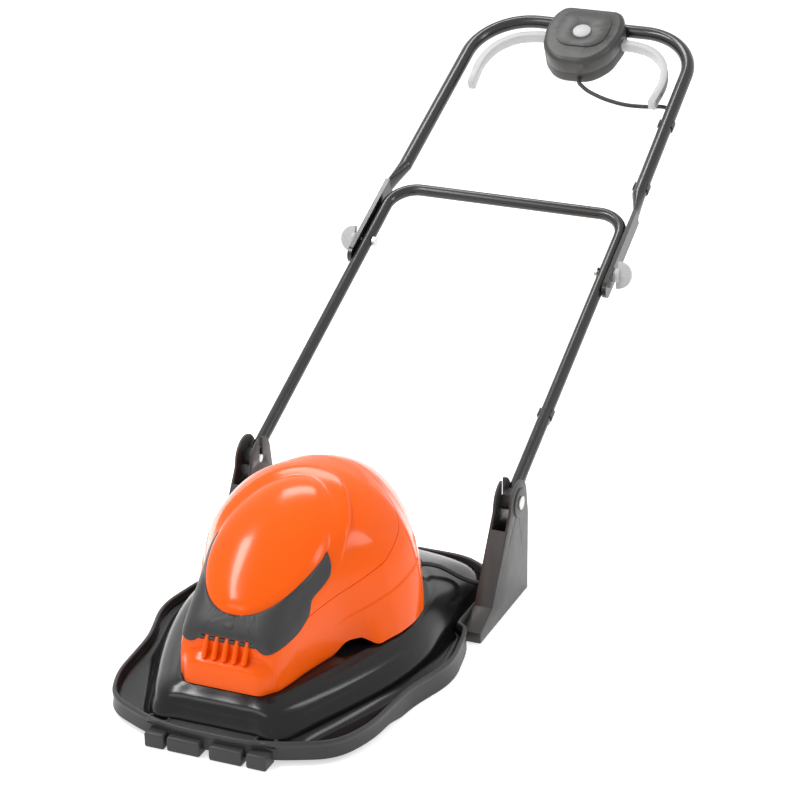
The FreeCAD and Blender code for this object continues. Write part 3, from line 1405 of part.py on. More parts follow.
def make_button():
    """The round lock button, slightly domed, with a flange under the cover."""
    high = size("cover_high") + 1.6
    r = size("button_d") / 2
    centre = Vector(0, size("button_up"), 0)
    body = Part.makeCylinder(r, size("button_proud") + 6, centre + Vector(0, 0, high - 6))
    dome_r = r * r / (2 * 2.0) + 1.0
    cap = Part.makeSphere(dome_r, centre + Vector(0, 0, high + size("button_proud") - dome_r))
    body = body.common(cap)
    flange = Part.makeCylinder(r + 2.5, 2, centre + Vector(0, 0, size("cover_high") - size("box_wall") - 2.3))
    stem = Part.makeCylinder(4, 14, centre + Vector(0, 0, size("cover_high") - size("box_wall") - 12))
    return body.fuse(flange).fuse(stem)


node(feature("lock_button", make_button()), "lock_button", HANDLE)
module = feature("switch_module", Part.makeBox(44, 30, 16, Vector(-22, size("button_up") - 21,
                                                               -size("base_deep") + size("box_wall"))))
node(module, "switch_module", HANDLE)
spring_low = -size("base_deep") + size("box_wall") + 16
spring_high = size("cover_high") - size("box_wall") - 2.3
spring = Part.makeCylinder(8, spring_high - spring_low, Vector(0, size("button_up"), spring_low))
spring = spring.cut(Part.makeCylinder(6.5, 60, Vector(0, size("button_up"), spring_low)))
node(feature("button_spring", spring), "button_spring", HANDLE)


# Cable from the switch box to the hood, and the clips that hold it

cable_r = size("cable_d") / 2


def cable(name, points, label, placement=None):
    """One stretch of the cable: a round bar along straight runs and arcs."""
    line, radii = path(points)
    solid = swept(line, cable_r)
    print(label, "radii", [round(r) for r in radii], "length", round(line.Length),
          "volume ratio", round(solid.Volume / (math.pi * cable_r ** 2 * line.Length), 4))
    return node(feature(name, solid), label, placement)


def upper_x(along):
    """The upper leg's distance from the middle plane."""
    share = (along - size("round_from")) / (size("upper_long") - size("round_from"))
    return size("upper_half") + share * (size("upper_top_half") - size("upper_half"))


behind_upper = -(size("upper_d") / 2 + cable_r + 0.4)
behind_lower = -(size("lower_d") / 2 + cable_r + 0.4)
out = size("box_from")
leg_end = 652
cable("cable_loop", [(14, out + 2, -10), (15, out - 10, -11), (34, out - 24, -14), (66, out - 35, -18),
                     (104, out - 40, -22), (141, out - 36, -24), (170, out - 32, -22), (189, out - 46, -18),
                     (upper_x(846), 846, behind_upper), (upper_x(740), 740, behind_upper),
                     (upper_x(leg_end), leg_end, behind_upper)], "cable_upper", HANDLE)


PIVOT_END = (205.6, 44, behind_lower - 3)
cable("cable_leg", [(upper_x(leg_end), leg_end - size("gap"), behind_upper), (199.8, 620, behind_upper),
                    (199.2, 540, behind_lower - 2), (leg_x(440), 440, behind_lower),
                    (leg_x(140), 140, behind_lower), (204.8, 70, behind_lower - 1),
                    PIVOT_END], "cable_lower", HANDLE)
pivot_end = HANDLE.multVec(Vector(*PIVOT_END))
pivot_way = HANDLE.Rotation.multVec(Vector(0.8, -26, -2).normalize())
start = pivot_end + pivot_way * size("gap")
next_point = start + pivot_way * 16
cable("cable_deck", [tuple(start), tuple(next_point), (206, pivot_y + 13, 128), (206, pivot_y + 3, 105),
                     (206, pivot_y - 12, 82), (205.5, pivot_y - 33, 62), (201, pivot_y - 52, 50),
                     (188, pivot_y - 62, 48), (172, pivot_y - 67, 50.5), (157, pivot_y - 72, 57.5),
                     (144, pivot_y - 77, 66), (130, pivot_y - 84, 75.5), tuple(gland_at + gland_way * 9),
                     tuple(gland_at - gland_way * 13), (82, pivot_y - 120, 95), (74, pivot_y - 125, 111),
                     (68.5, pivot_y - 131, 124.5), (66, pivot_y - 139, 132), (66, pivot_y - 150, 133)],
      "cable_deck")


def make_clip(x, along, tube_r, reach):
    """A snap on clip: an open ring round the leg with a small ring for the cable behind it."""
    length = 14
    way = Vector(0, 1, 0)
    start = Vector(x, along - length / 2, 0)
    ring_outer = Part.makeCylinder(tube_r + 0.3 + 2.2, length, start, way)
    cable_at = start + Vector(0, 0, reach)
    loop = Part.makeCylinder(cable_r + 0.3 + 2.0, length, cable_at, way)
    solid = ring_outer.fuse(loop)
    solid = solid.cut(Part.makeCylinder(tube_r + 0.3, 80, start - way * 20, way))
    solid = solid.cut(Part.makeCylinder(cable_r + 0.3, 80, cable_at - way * 20, way))
    mouth = Part.makeBox(60, 60, 30, Vector(x - 30, along - 30, tube_r * 0.45))
    return solid.cut(mouth)


clips = [make_clip(upper_x(815), 815, size("upper_d") / 2, behind_upper),
         make_clip(upper_x(665), 665, size("upper_d") / 2, behind_upper)]
node(feature("upper_cable_clips", Part.makeCompound(clips)), "upper_cable_clips", HANDLE)
node(feature("lower_cable_clip", make_clip(leg_x(172), 172, size("lower_d") / 2, behind_lower)),
     "lower_cable_clip", HANDLE)


def make_gland():
    """The rubber gland in the hood: a sleeve with a collar each side of the wall."""
    r = size("cable_d") / 2 + size("gap")
    sleeve = Part.makeCylinder(r + 2, 9, gland_at - gland_way * 5, gland_way)
    outer = Part.makeCylinder(r + 3.8, 2.5, gland_at + gland_way * 0.7, gland_way)
    return sleeve.fuse(outer).cut(Part.makeCylinder(r, 60, gland_at - gland_way * 30, gland_way))


node(feature("cable_gland", make_gland()), "cable_gland")


def make_terminal_block():
    """The block on the motor bridge that the cable ends in, with its terminals on top."""
    top = size("bridge_z") + size("bridge_thick")
    block = Part.makeBox(28, 24, 16, Vector(52, pivot_y - 150 - 24 - size("gap"), top))
    for i in range(3):
        block = block.cut(Part.makeCylinder(3, 4, Vector(58 + 8 * i, pivot_y - 163, top + 12)))
    return block


node(feature("terminal_block", make_terminal_block()), "terminal_block")
block_top = size("bridge_z") + size("bridge_thick")
capacitor = Part.makeCylinder(9, 30, Vector(-72, pivot_y - 176, block_top + 9.2), Vector(1, 0, 0))
node(feature("suppressor", capacitor.fuse(Part.makeBox(20, 14, 4, Vector(-67, pivot_y - 183, block_top)))),
     "suppressor")

doc.recompute()
os.makedirs("parts", exist_ok=True)
for piece in doc.Objects:
    for state in piece.State:
        if state in ("Invalid", "Error"):
            raise RuntimeError("%s is %s" % (piece.Name, state))
for piece in NODES:
    shape = piece.Shape
    if shape.isNull() or not shape.isValid():
        raise RuntimeError("%s has no valid shape" % piece.Label)
for piece in NODES:
    piece.Shape.exportStep("parts/%s.step" % piece.Label)
    bounds = piece.Shape.BoundBox
    print("%-24s solids %d volume %9.0f  x %7.1f %7.1f  y %7.1f %7.1f  z %6.1f %6.1f" % (
        piece.Label, len(piece.Shape.Solids), piece.Shape.Volume, bounds.XMin, bounds.XMax,
        bounds.YMin, bounds.YMax, bounds.ZMin, bounds.ZMax))
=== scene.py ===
import json
import math

import bmesh
import bpy
import numpy as np
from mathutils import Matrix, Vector


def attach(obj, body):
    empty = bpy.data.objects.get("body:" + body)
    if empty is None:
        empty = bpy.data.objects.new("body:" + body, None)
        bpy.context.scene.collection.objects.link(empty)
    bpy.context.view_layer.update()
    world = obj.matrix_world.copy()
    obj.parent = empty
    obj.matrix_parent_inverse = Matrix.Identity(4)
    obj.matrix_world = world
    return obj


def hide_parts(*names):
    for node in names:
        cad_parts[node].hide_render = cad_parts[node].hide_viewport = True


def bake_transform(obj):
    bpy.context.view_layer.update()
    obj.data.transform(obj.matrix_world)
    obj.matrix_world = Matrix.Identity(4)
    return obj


# Looks of the hover mower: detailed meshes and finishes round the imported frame.
# Shapes are worked out in millimetres in the machine's own places: X across, Y behind the
# handle's pivot line (the front is minus), Z above the ground. Handle pieces use the handle's
# frame: X across, Y up the handle from the pivot line, Z out of its front face.

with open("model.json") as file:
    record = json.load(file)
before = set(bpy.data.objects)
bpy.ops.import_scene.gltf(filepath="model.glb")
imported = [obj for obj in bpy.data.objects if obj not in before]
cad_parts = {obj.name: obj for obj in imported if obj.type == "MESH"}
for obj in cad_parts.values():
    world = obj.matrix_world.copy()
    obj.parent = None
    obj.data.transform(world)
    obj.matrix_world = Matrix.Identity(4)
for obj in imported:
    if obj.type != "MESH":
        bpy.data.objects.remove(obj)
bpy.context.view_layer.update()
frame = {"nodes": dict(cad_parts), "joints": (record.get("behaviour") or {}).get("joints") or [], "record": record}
joints = {joint["name"]: joint for joint in frame["joints"]}

MM = 0.001
PIVOT = Vector(joints["handle_tilt"]["pos_m"])
LEAN = math.radians(25.7)
COUNT = 240  # points round a closed ring


def machine_to_row(points):
    """Millimetres behind the pivot line and above the ground, as metres in the row frame."""
    moved = np.asarray(points, float) * MM
    moved[..., 1] += PIVOT.y
    return moved


def handle_to_row(points):
    """Millimetres in the handle's frame, as metres in the row frame."""
    pts = np.asarray(points, float) * MM
    c, s = math.cos(LEAN), math.sin(LEAN)
    moved = pts.copy()
    moved[..., 1] = PIVOT.y + pts[..., 1] * c - pts[..., 2] * s
    moved[..., 2] = PIVOT.z + pts[..., 1] * s + pts[..., 2] * c
    return moved


# Finishes

def linear(red, green, blue):
    """A colour given as it looks on a screen, 0 to 255, as the shader's numbers."""
    out = []
    for value in (red, green, blue):
        v = value / 255
        out.append(v / 12.92 if v <= 0.04045 else ((v + 0.055) / 1.055) ** 2.4)
    return tuple(out)


def finish(name, colour, rough, metal=0.0, coat=0.0, coat_rough=0.08, mottle=0.06, mottle_scale=30.0,
           swing=0.06, grain=0.15, grain_scale=1400.0, grain_depth=0.00004, stretch=(1, 1, 1), edge=0.0,
           specular=0.5):
    """A surface with colour variation, uneven gloss, a fine grain and paler worn edges."""
    material = bpy.data.materials.new(name)
    material.use_nodes = True
    nodes = material.node_tree.nodes
    links = material.node_tree.links
    shader = nodes["Principled BSDF"]
    shader.inputs["Metallic"].default_value = metal
    shader.inputs["Specular IOR Level"].default_value = specular
    shader.inputs["Coat Weight"].default_value = coat
    shader.inputs["Coat Roughness"].default_value = coat_rough
    place = nodes.new("ShaderNodeTexCoord")
    mapping = nodes.new("ShaderNodeMapping")
    mapping.inputs["Scale"].default_value = stretch
    links.new(place.outputs["Object"], mapping.inputs["Vector"])

    def noise(scale, detail):
        node = nodes.new("ShaderNodeTexNoise")
        node.inputs["Scale"].default_value = scale
        node.inputs["Detail"].default_value = detail
        links.new(mapping.outputs["Vector"], node.inputs["Vector"])
        return node

    patches = noise(mottle_scale, 4.0)
    ramp = nodes.new("ShaderNodeValToRGB")
    ramp.color_ramp.elements[0].position = 0.3
    ramp.color_ramp.elements[1].position = 0.7
    ramp.color_ramp.elements[0].color = (*[c * (1 - mottle) for c in colour], 1)
    ramp.color_ramp.elements[1].color = (*[min(1, c * (1 + mottle)) for c in colour], 1)
    links.new(patches.outputs["Fac"], ramp.inputs["Fac"])
    tint = ramp.outputs["Color"]
    if edge:
        geometry = nodes.new("ShaderNodeNewGeometry")
        worn = nodes.new("ShaderNodeMapRange")
        worn.inputs["From Min"].default_value = 0.52
        worn.inputs["From Max"].default_value = 0.62
        worn.inputs["To Max"].default_value = edge
        links.new(geometry.outputs["Pointiness"], worn.inputs["Value"])
        mix = nodes.new("ShaderNodeMix")
        mix.data_type = "RGBA"
        links.new(worn.outputs["Result"], mix.inputs["Factor"])
        links.new(tint, mix.inputs["A"])
        mix.inputs["B"].default_value = (*[min(1, c * 2.2 + 0.03) for c in colour], 1)
        tint = mix.outputs["Result"]
    links.new(tint, shader.inputs["Base Color"])
    smears = noise(mottle_scale * 2.7, 6.0)
    gloss = nodes.new("ShaderNodeMapRange")
    gloss.inputs["To Min"].default_value = max(0.02, rough - swing)
    gloss.inputs["To Max"].default_value = rough + swing
    links.new(smears.outputs["Fac"], gloss.inputs["Value"])
    links.new(gloss.outputs["Result"], shader.inputs["Roughness"])
    fine = noise(grain_scale, 2.0)
    bump = nodes.new("ShaderNodeBump")
    bump.inputs["Strength"].default_value = grain
    bump.inputs["Distance"].default_value = grain_depth
    links.new(fine.outputs["Fac"], bump.inputs["Height"])
    links.new(bump.outputs["Normal"], shader.inputs["Normal"])
    return material


ORANGE = finish("orange_gloss", linear(252, 95, 0), 0.17, coat=0.08, coat_rough=0.06, mottle=0.03,
                mottle_scale=9.0, swing=0.03, grain=0.05, specular=0.15)
DECK = finish("deck_satin", linear(20, 20, 21), 0.19, mottle=0.08, mottle_scale=14.0, swing=0.04,
              grain=0.1, edge=0.2, specular=0.28)
RIM = finish("deck_grained", linear(56, 56, 57), 0.42, mottle=0.08, mottle_scale=20.0, swing=0.07,
             grain=0.5, grain_scale=1800.0, edge=0.3, specular=0.25)
TRIM = finish("trim_grained", linear(56, 56, 57), 0.45, mottle=0.06, mottle_scale=24.0, swing=0.06,
              grain=0.5, grain_scale=2000.0, edge=0.25, specular=0.25)
BRACKET = finish("bracket_grained", linear(60, 59, 58), 0.4, mottle=0.08, mottle_scale=18.0, swing=0.07,
                 grain=0.45, grain_scale=1700.0, edge=0.4, specular=0.3)
BOX = finish("box_grained", linear(60, 59, 58), 0.4, mottle=0.07, mottle_scale=30.0, swing=0.06,
             grain=0.5, grain_scale=2200.0, edge=0.25, specular=0.35)
TUBE = finish("tube_powder", linear(38, 37, 36), 0.22, metal=0.25, mottle=0.06, mottle_scale=16.0,
              swing=0.05, grain=0.15, grain_scale=900.0, specular=0.6)
PALE = finish("pale_moulding", linear(190, 190, 191), 0.34, mottle=0.02, mottle_scale=30.0, swing=0.05,
              grain=0.2, grain_scale=1800.0, specular=0.25)
CABLE = finish("cable_rubber", linear(34, 34, 35), 0.5, mottle=0.1, mottle_scale=60.0, swing=0.08,
               grain=0.4, grain_scale=1500.0)
# Near black, used only for the rods that paint the shade in the gaps between the vent fins.
VENT_GAP_SHADE = finish("vent_gap_painted_shade", linear(38, 38, 39), 0.5, mottle=0.1, mottle_scale=40.0, swing=0.08,
               grain=0.4)
ZINC = finish("zinc_plate", (0.58, 0.58, 0.57), 0.34, metal=1.0, mottle=0.1, mottle_scale=120.0,
              swing=0.08, grain=0.2)
STEEL = finish("ground_steel", (0.55, 0.55, 0.56), 0.28, metal=1.0, mottle=0.08, mottle_scale=90.0,
               swing=0.08, grain=0.35, grain_scale=500.0, stretch=(1, 1, 12))
BLADE = finish("blade_steel", (0.42, 0.42, 0.43), 0.36, metal=1.0, mottle=0.16, mottle_scale=60.0,
               swing=0.1, grain=0.4, grain_scale=420.0, stretch=(1, 14, 1))
LAMINATION = finish("stacked_laminations", (0.27, 0.26, 0.26), 0.42, metal=0.9, mottle=0.2,
                    mottle_scale=300.0, grain=0.6, grain_scale=700.0, grain_depth=0.0002,
                    stretch=(0.05, 0.05, 1))
COPPER = finish("copper", (0.72, 0.36, 0.22), 0.3, metal=1.0, mottle=0.12, mottle_scale=200.0)
CARBON = finish("carbon", (0.03, 0.03, 0.032), 0.6, mottle=0.2, mottle_scale=300.0, grain=0.5)
PULLEY = finish("pulley_moulding", (0.16, 0.16, 0.165), 0.45, mottle=0.1, mottle_scale=60.0, grain=0.4)
RUBBER = finish("belt_rubber", (0.02, 0.02, 0.021), 0.62, mottle=0.15, mottle_scale=150.0, grain=0.6)

SLOT_FINISH = {
    "hood_orange": ORANGE, "deck_grey": DECK, "trim_grey": TRIM, "box_black": BOX, "tube_paint": TUBE,
    "pale_plastic": PALE, "zinc_steel": ZINC, "blade_steel": BLADE, "ground_steel": STEEL,
    "lamination": LAMINATION, "copper": COPPER, "carbon": CARBON, "pulley": PULLEY, "rubber": RUBBER,
}


def node_slots():
    """The record's material slot of each CAD node."""
    found = {}
    for part in frame["record"]["subparts"]:
        found[part["node"]] = part["material_slot"]
    return found


# Meshes

def piece(name, points, faces, body, material, replaces=(), sharp=35.0, place=machine_to_row):
    """A mesh from points and faces, smooth but for its sharp edges, riding on a body."""
    mesh = bpy.data.meshes.new(name)
    mesh.from_pydata([tuple(p) for p in place(points)], [], [tuple(int(i) for i in f) for f in faces])
    work = bmesh.new()
    work.from_mesh(mesh)
    bmesh.ops.remove_doubles(work, verts=work.verts, dist=0.00001)
    bmesh.ops.dissolve_degenerate(work, edges=work.edges, dist=0.00001)
    bmesh.ops.recalc_face_normals(work, faces=work.faces)
    work.to_mesh(mesh)
    work.free()
    mesh.polygons.foreach_set("use_smooth", [True] * len(mesh.polygons))
    mesh.set_sharp_from_angle(angle=math.radians(sharp))
    made = bpy.data.objects.new(name, mesh)
    bpy.context.scene.collection.objects.link(made)
    made.data.materials.append(material)
    if body is not None:
        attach(made, body)
    if replaces:
        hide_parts(*replaces)
    return made


def grid_faces(rows, cols, closed=False, start=0):
    """The quads of a grid whose points lie row by row."""
    faces = []
    for i in range(rows - 1):
        for j in range(cols if closed else cols - 1):
            k = (j + 1) % cols
            faces.append((start + i * cols + j, start + i * cols + k,
                          start + (i + 1) * cols + k, start + (i + 1) * cols + j))
    return faces


def lofted(rings, cap_first=False, cap_last=False, loop=False):
    """Points and faces of a skin over closed rings."""
    rings = np.asarray(rings, float)
    count, around = rings.shape[0], rings.shape[1]
    points = rings.reshape(-1, 3)
    faces = grid_faces(count, around, closed=True)
    if loop:
        last = (count - 1) * around
        for j in range(around):
            k = (j + 1) % around
            faces.append((last + j, last + k, k, j))
    if cap_first:
        faces.append(tuple(range(around)))
    if cap_last:
        faces.append(tuple(range((count - 1) * around, count * around)))
    return points, faces


def rounded(corners, share=0.45, largest=1e9, steps=10, closed=True):
    """A polyline of straight runs with its corners rounded by arcs, as dense points."""
    pts = [np.array(p, float) for p in corners]
    count = len(pts)
    out = []
    for i in range(count):
        if not closed and i in (0, count - 1):
            out.append(pts[i])
            continue
        before, here, after = pts[i - 1], pts[i], pts[(i + 1) % count]
        a = (before - here) / np.linalg.norm(before - here)
        b = (after - here) / np.linalg.norm(after - here)
        turn = math.pi - math.acos(np.clip(a @ b, -1, 1))
        if turn < 1e-3:
            out.append(here)
            continue
        run = min(np.linalg.norm(before - here), np.linalg.norm(after - here))
        back = min(share * run, largest * math.tan(turn / 2))
        radius = back / math.tan(turn / 2)
        centre = here + (a + b) / np.linalg.norm(a + b) * (radius / math.cos(turn / 2))
        first = here + a * back - centre
        last = here + b * back - centre
        for k in range(steps + 1):
            mixed = first * (1 - k / steps) + last * (k / steps)
            out.append(centre + mixed / np.linalg.norm(mixed) * radius)
    return np.array(out)


def spread(points, spacing=1.0, closed=True):
    """The same line with points close together."""
    pts = np.asarray(points, float)
    if closed:
        pts = np.vstack([pts, pts[:1]])
    out = []
    for a, b in zip(pts[:-1], pts[1:]):
        steps = max(1, int(np.linalg.norm(b - a) / spacing))
        out.extend(a + (b - a) * k / steps for k in range(steps))
    if not closed:
        out.append(pts[-1])
    return np.array(out)


def smooth_span(a, b, c, d, steps):
    """Points from b up to c on a smooth curve through four points."""
    out = []
    for k in range(steps):
        t = k / steps
        out.append(0.5 * (2 * b + (c - a) * t + (2 * a - 5 * b + 4 * c - d) * t * t
                          + (3 * b - a - 3 * c + d) * t ** 3))
    return out


def smooth_closed(points, steps=12):
    """A smooth closed curve through the points."""
    pts = np.asarray(points, float)
    count = len(pts)
    out = []
    for i in range(count):
        out += smooth_span(*(pts[(i + k - 1) % count] for k in range(4)), steps)
    return np.array(out)


def smooth_open(points, steps):
    """A smooth open curve through the points, several steps to each span."""
    count = len(points)
    out = []
    for i in range(count - 1):
        out += smooth_span(*(points[min(max(i + k - 1, 0), count - 1)] for k in range(4)), steps)
    out.append(points[-1])
    return np.array(out)


def both_sides(half):
    """A closed outline from the points of its right half, front to back."""
    return list(half) + [(-x, y) for x, y in reversed(half) if x > 1e-6]


ANGLES = np.linspace(0, 2 * math.pi, COUNT, endpoint=False)


def radii(outline, centre):
    """How far a closed outline lies from a centre, at the common angles."""
    line = spread(outline, 0.7) - np.array(centre)
    angle = np.arctan2(line[:, 1], line[:, 0]) % (2 * math.pi)
    reach = np.hypot(line[:, 0], line[:, 1])
    order = np.argsort(angle)
    return np.interp(ANGLES, angle[order], reach[order], period=2 * math.pi)


def ring_at(centre, reach, height):
    """A closed ring from its radii round a centre."""
    height = np.broadcast_to(height, reach.shape)
    return np.stack([centre[0] + reach * np.cos(ANGLES), centre[1] + reach * np.sin(ANGLES), height], -1)


def smoothstep(value):
    """0 below 0, 1 above 1 and a smooth rise between."""
    t = np.clip(value, 0, 1)
    return t * t * (3 - 2 * t)


# Hood

HOOD_FOOT = 60.0
FOOT_Z = 74.3
HOOD_WALL = 2.6
SEAM_PLAY = 0.22
STATIONS = np.array([
    # ahead of the pivot line, half width, crown height, power of the section's superellipse
    (526.0, 44, 103, 7.0), (525.6, 49, 106.5, 7.0), (524.2, 53.5, 109, 6.8), (521.5, 57, 110.8, 6.5),
    (516, 61, 113.2, 6.0), (510.5, 65, 116.6, 5.6), (507.8, 67, 122, 5.2), (506.6, 68.5, 133, 5.0),
    (505.4, 69.5, 144, 4.9), (502, 71, 151, 4.8), (494, 73.5, 158.5, 4.8), (474, 78, 172, 4.7),
    (450, 82, 187.5, 4.5), (412, 90.5, 209, 4.1), (373, 102, 229, 3.8), (350, 113, 238.8, 3.5),
    (335, 122, 245, 3.2), (312, 134, 251, 3.0), (290, 145, 256, 2.8), (255, 154.5, 263, 2.6),
    (222, 157, 266, 2.5), (203, 152, 265.5, 2.4), (185, 144, 264, 2.3), (167, 136.5, 260.5, 2.25),
    (150, 128, 255, 2.2), (125, 117, 243.5, 2.15), (105, 107, 230, 2.1), (92, 100, 215.5, 2.1),
    (82, 92, 202, 2.1), (74, 80, 183, 2.1), (68, 66, 164, 2.1), (64, 50, 139, 2.1), (62, 38, 116, 2.1),
])
SEAM = np.array([(-530, 143), (-512, 143), (-427, 152), (-355, 162), (-289, 178), (-237, 200), (-200, 226),
                 (-167, 256), (-158, 270), (-150, 300)])
CREASE = np.array([(-420, 112), (-367, 122), (-231, 147), (-150, 166), (-60, 180)])
FLARE = np.array([(-366, 0), (-355, 2), (-345, 8), (-337, 15), (-328, 17), (-300, 11), (-255, 5), (-225, 0)])
EGG_AXES = np.array([79.0, 128.0, 26.0])
EGG_AT = np.array([0.0, -369.0, 213.0])
EGG_TILT = math.radians(22.4)
SHOULDER_AT = (-365.0, 211.0)
SHOULDER_HALF = (97.0, 157.0)


def hood_rows():
    """Rows of the hood about evenly spaced along its crown."""
    dense = smooth_open(STATIONS, 24)
    step = np.hypot(np.diff(dense[:, 0]), np.diff(dense[:, 2]))
    run = np.concatenate([[0], np.cumsum(step)])
    wanted = np.linspace(0, run[-1], 300)
    return np.stack([np.interp(wanted, run, dense[:, k]) for k in range(4)], -1)


def foot_height(y):
    """Lower edge of the hood: level, with an arch on each side and a drop at the rear."""
    arch = 13 * smoothstep((y + 392) / 34) * smoothstep((-331 - y) / 16)
    drop = -8 * smoothstep((y + 78) / 40)
    return FOOT_Z + arch + drop


def arch_point(half, crown, power, angle):
    """A point of the arch across the hood."""
    x = half * np.sign(np.cos(angle)) * np.abs(np.cos(angle)) ** (2 / power)
    z = HOOD_FOOT + (crown - HOOD_FOOT) * np.abs(np.sin(angle)) ** (2 / power)
    return x, z


def angle_at(crown, power, height):
    """The arch's angle at a height."""
    share = np.clip((height - HOOD_FOOT) / (crown - HOOD_FOOT), 0, 1)
    return np.arcsin(share ** (power / 2))


def egg_rise(points, normals, grow=0.0):
    """How far along the normals the egg's surface lies, far below zero where it is missed."""
    c, s = math.cos(EGG_TILT), math.sin(EGG_TILT)
    turn = np.array([[1, 0, 0], [0, c, s], [0, -s, c]])
    axes = EGG_AXES + grow
    p = (points - EGG_AT) @ turn.T / axes
    n = normals @ turn.T / axes
    a = (n * n).sum(-1)
    b = (p * n).sum(-1)
    root = b * b - a * ((p * p).sum(-1) - 1)
    return np.where(root > 0, (-b + np.sqrt(np.maximum(root, 0))) / a, -40.0)


def shoulder_rise(points):
    """The proud band round the egg, with a crisp outer edge that fades towards the front."""
    c, s = math.cos(EGG_TILT), math.sin(EGG_TILT)
    dy = points[..., 1] - SHOULDER_AT[0]
    dz = points[..., 2] - SHOULDER_AT[1]
    along = dy * c + dz * s
    q = np.hypot(points[..., 0] / SHOULDER_HALF[0], along / SHOULDER_HALF[1])
    edge = smoothstep((1 - q) / 0.045)
    fade = smoothstep((along + 15) / 70)
    swell = 0.25 + 0.75 * smoothstep((q - 0.7) / 0.27)
    return 6.0 * edge * fade * swell


def surface_normals(grid):
    """Outward normals of a grid of points, across rows and columns."""
    along = np.gradient(grid, axis=0)
    across = np.gradient(grid, axis=1)
    normal = np.cross(along, across)
    length = np.linalg.norm(normal, axis=-1, keepdims=True)
    normal = normal / np.maximum(length, 1e-9)
    outward = np.sign((normal * (grid - np.array([0, -300, 120]))).sum(-1, keepdims=True))
    return normal * np.where(outward == 0, 1, outward)


def hood_grid(rows, low_angle, high_angle, shares):
    """Points across the hood between two angles of each row."""
    ahead, half, crown, power = rows[:, 0:1], rows[:, 1:2], rows[:, 2:3], rows[:, 3:4]
    angle = low_angle[:, None] + (high_angle - low_angle)[:, None] * shares[None, :]
    x, z = arch_point(half, crown, power, angle)
    grid = np.stack([x, np.broadcast_to(-ahead, x.shape), z], -1)
    return grid


def soft_positive(value, softness):
    """The value where it is above zero, with a small round at the change."""
    return 0.5 * (value + np.sqrt(value * value + softness * softness))


def shell_of(grid, normals, wall, open_rows=None):
    """Points and faces of a grid with a wall behind it, closed round its border.

    Where a row isn't open, its last column meets the other half of the hood and stays unclosed."""
    rows, cols = grid.shape[:2]
    outer = grid.reshape(-1, 3)
    inner = (grid - normals * wall).reshape(-1, 3)
    count = len(outer)
    faces = grid_faces(rows, cols) + [tuple(reversed(f)) for f in grid_faces(rows, cols, start=count)]
    border = list(range(cols))
    border += [i * cols + cols - 1 for i in range(1, rows)]
    border += [(rows - 1) * cols + j for j in range(cols - 2, -1, -1)]
    border += [i * cols for i in range(rows - 2, 0, -1)]
    for a, b in zip(border, border[1:] + border[:1]):
        on_top = a % cols == cols - 1 and b % cols == cols - 1
        if open_rows is not None and on_top and not (open_rows[a // cols] or open_rows[b // cols]):
            continue
        faces.append((a, b, b + count, a + count))
    return np.vstack([outer, inner]), faces


def make_hood():
    """The cap with its egg and shoulder, and the body round it, with a fine groove between."""
    rows = hood_rows()
    y = -rows[:, 0]
    seam_z = np.interp(y, SEAM[:, 0], SEAM[:, 1])
    seam_angle = angle_at(rows[:, 2], rows[:, 3], seam_z)
    cap_rows = np.where(seam_angle < math.pi / 2 - 0.03)[0]
    r = rows[cap_rows[0]:cap_rows[-1] + 1]
    play = SEAM_PLAY / np.maximum(r[:, 1], 1)
    low = seam_angle[cap_rows[0]:cap_rows[-1] + 1] + play
    shares = np.linspace(0, 1, 220)
    shares = np.insert(shares, [1, -1], [0.0012, 0.9988])
    grid = hood_grid(r, low, math.pi - low, shares)
    normals = surface_normals(grid)
    egg = egg_rise(grid, normals)
    rise = soft_positive(egg, 1.6) * (egg > -12)
    band = shoulder_rise(grid)
    height = np.maximum(band, 0) + soft_positive(rise - band, 1.2)
    height[:, [0, -1]] -= 0.5
    grid = grid + normals * height[..., None]
    points, faces = shell_of(grid, normals, HOOD_WALL)
    piece("hood_cap_shell", points, faces, "chassis", ORANGE, ["hood_cap"], sharp=40)

    top = np.minimum(seam_angle, math.pi / 2)
    bottom = np.minimum(angle_at(rows[:, 2], rows[:, 3], foot_height(y)), top - 0.01)
    shares = np.linspace(0, 1, 64)
    shares = np.insert(shares, [1, 63], [0.004, 0.993])
    sides = []
    for mirror in (1, -1):
        grid = hood_grid(rows, bottom, top, shares)
        crease_z = np.interp(grid[..., 1], CREASE[:, 0], CREASE[:, 1])
        drop = np.clip((crease_z - grid[..., 2]) / (crease_z - FOOT_Z), 0, 1)
        grid[..., 0] += drop ** 1.5 * np.interp(grid[..., 1], FLARE[:, 0], FLARE[:, 1])
        normals = surface_normals(grid)
        under = smoothstep((crease_z - grid[..., 2]) / 2.2) * smoothstep((grid[..., 1] + 400) / 60)
        under = under * smoothstep((-95 - grid[..., 1]) / 40)
        height = 0.9 + 1.3 * under
        height[:, -1] -= 1.1
        height[:, 0] -= 0.9
        open_seam = (top < math.pi / 2 - 0.02).astype(float)
        height = height * open_seam[:, None]
        grid = grid + normals * height[..., None]
        if mirror < 0:
            grid = grid * np.array([-1, 1, 1])
            normals = normals * np.array([-1, 1, 1])
        sides.append((grid, normals))
    points, faces = joined([shell_of(grid, normals, HOOD_WALL, open_seam > 0) for grid, normals in sides])
    end_points, end_faces = hood_ends(rows, bottom)
    points, faces = joined([(points, faces), (end_points, end_faces)])
    piece("hood_body_shell", points, faces, "chassis", ORANGE, ["hood_body"], sharp=40)


def joined(parts):
    """Several points and faces as one."""
    all_points, all_faces = [], []
    start = 0
    for points, faces in parts:
        all_points.append(np.asarray(points, float))
        all_faces.extend(tuple(i + start for i in f) for f in faces)
        start += len(points)
    return np.vstack(all_points), all_faces


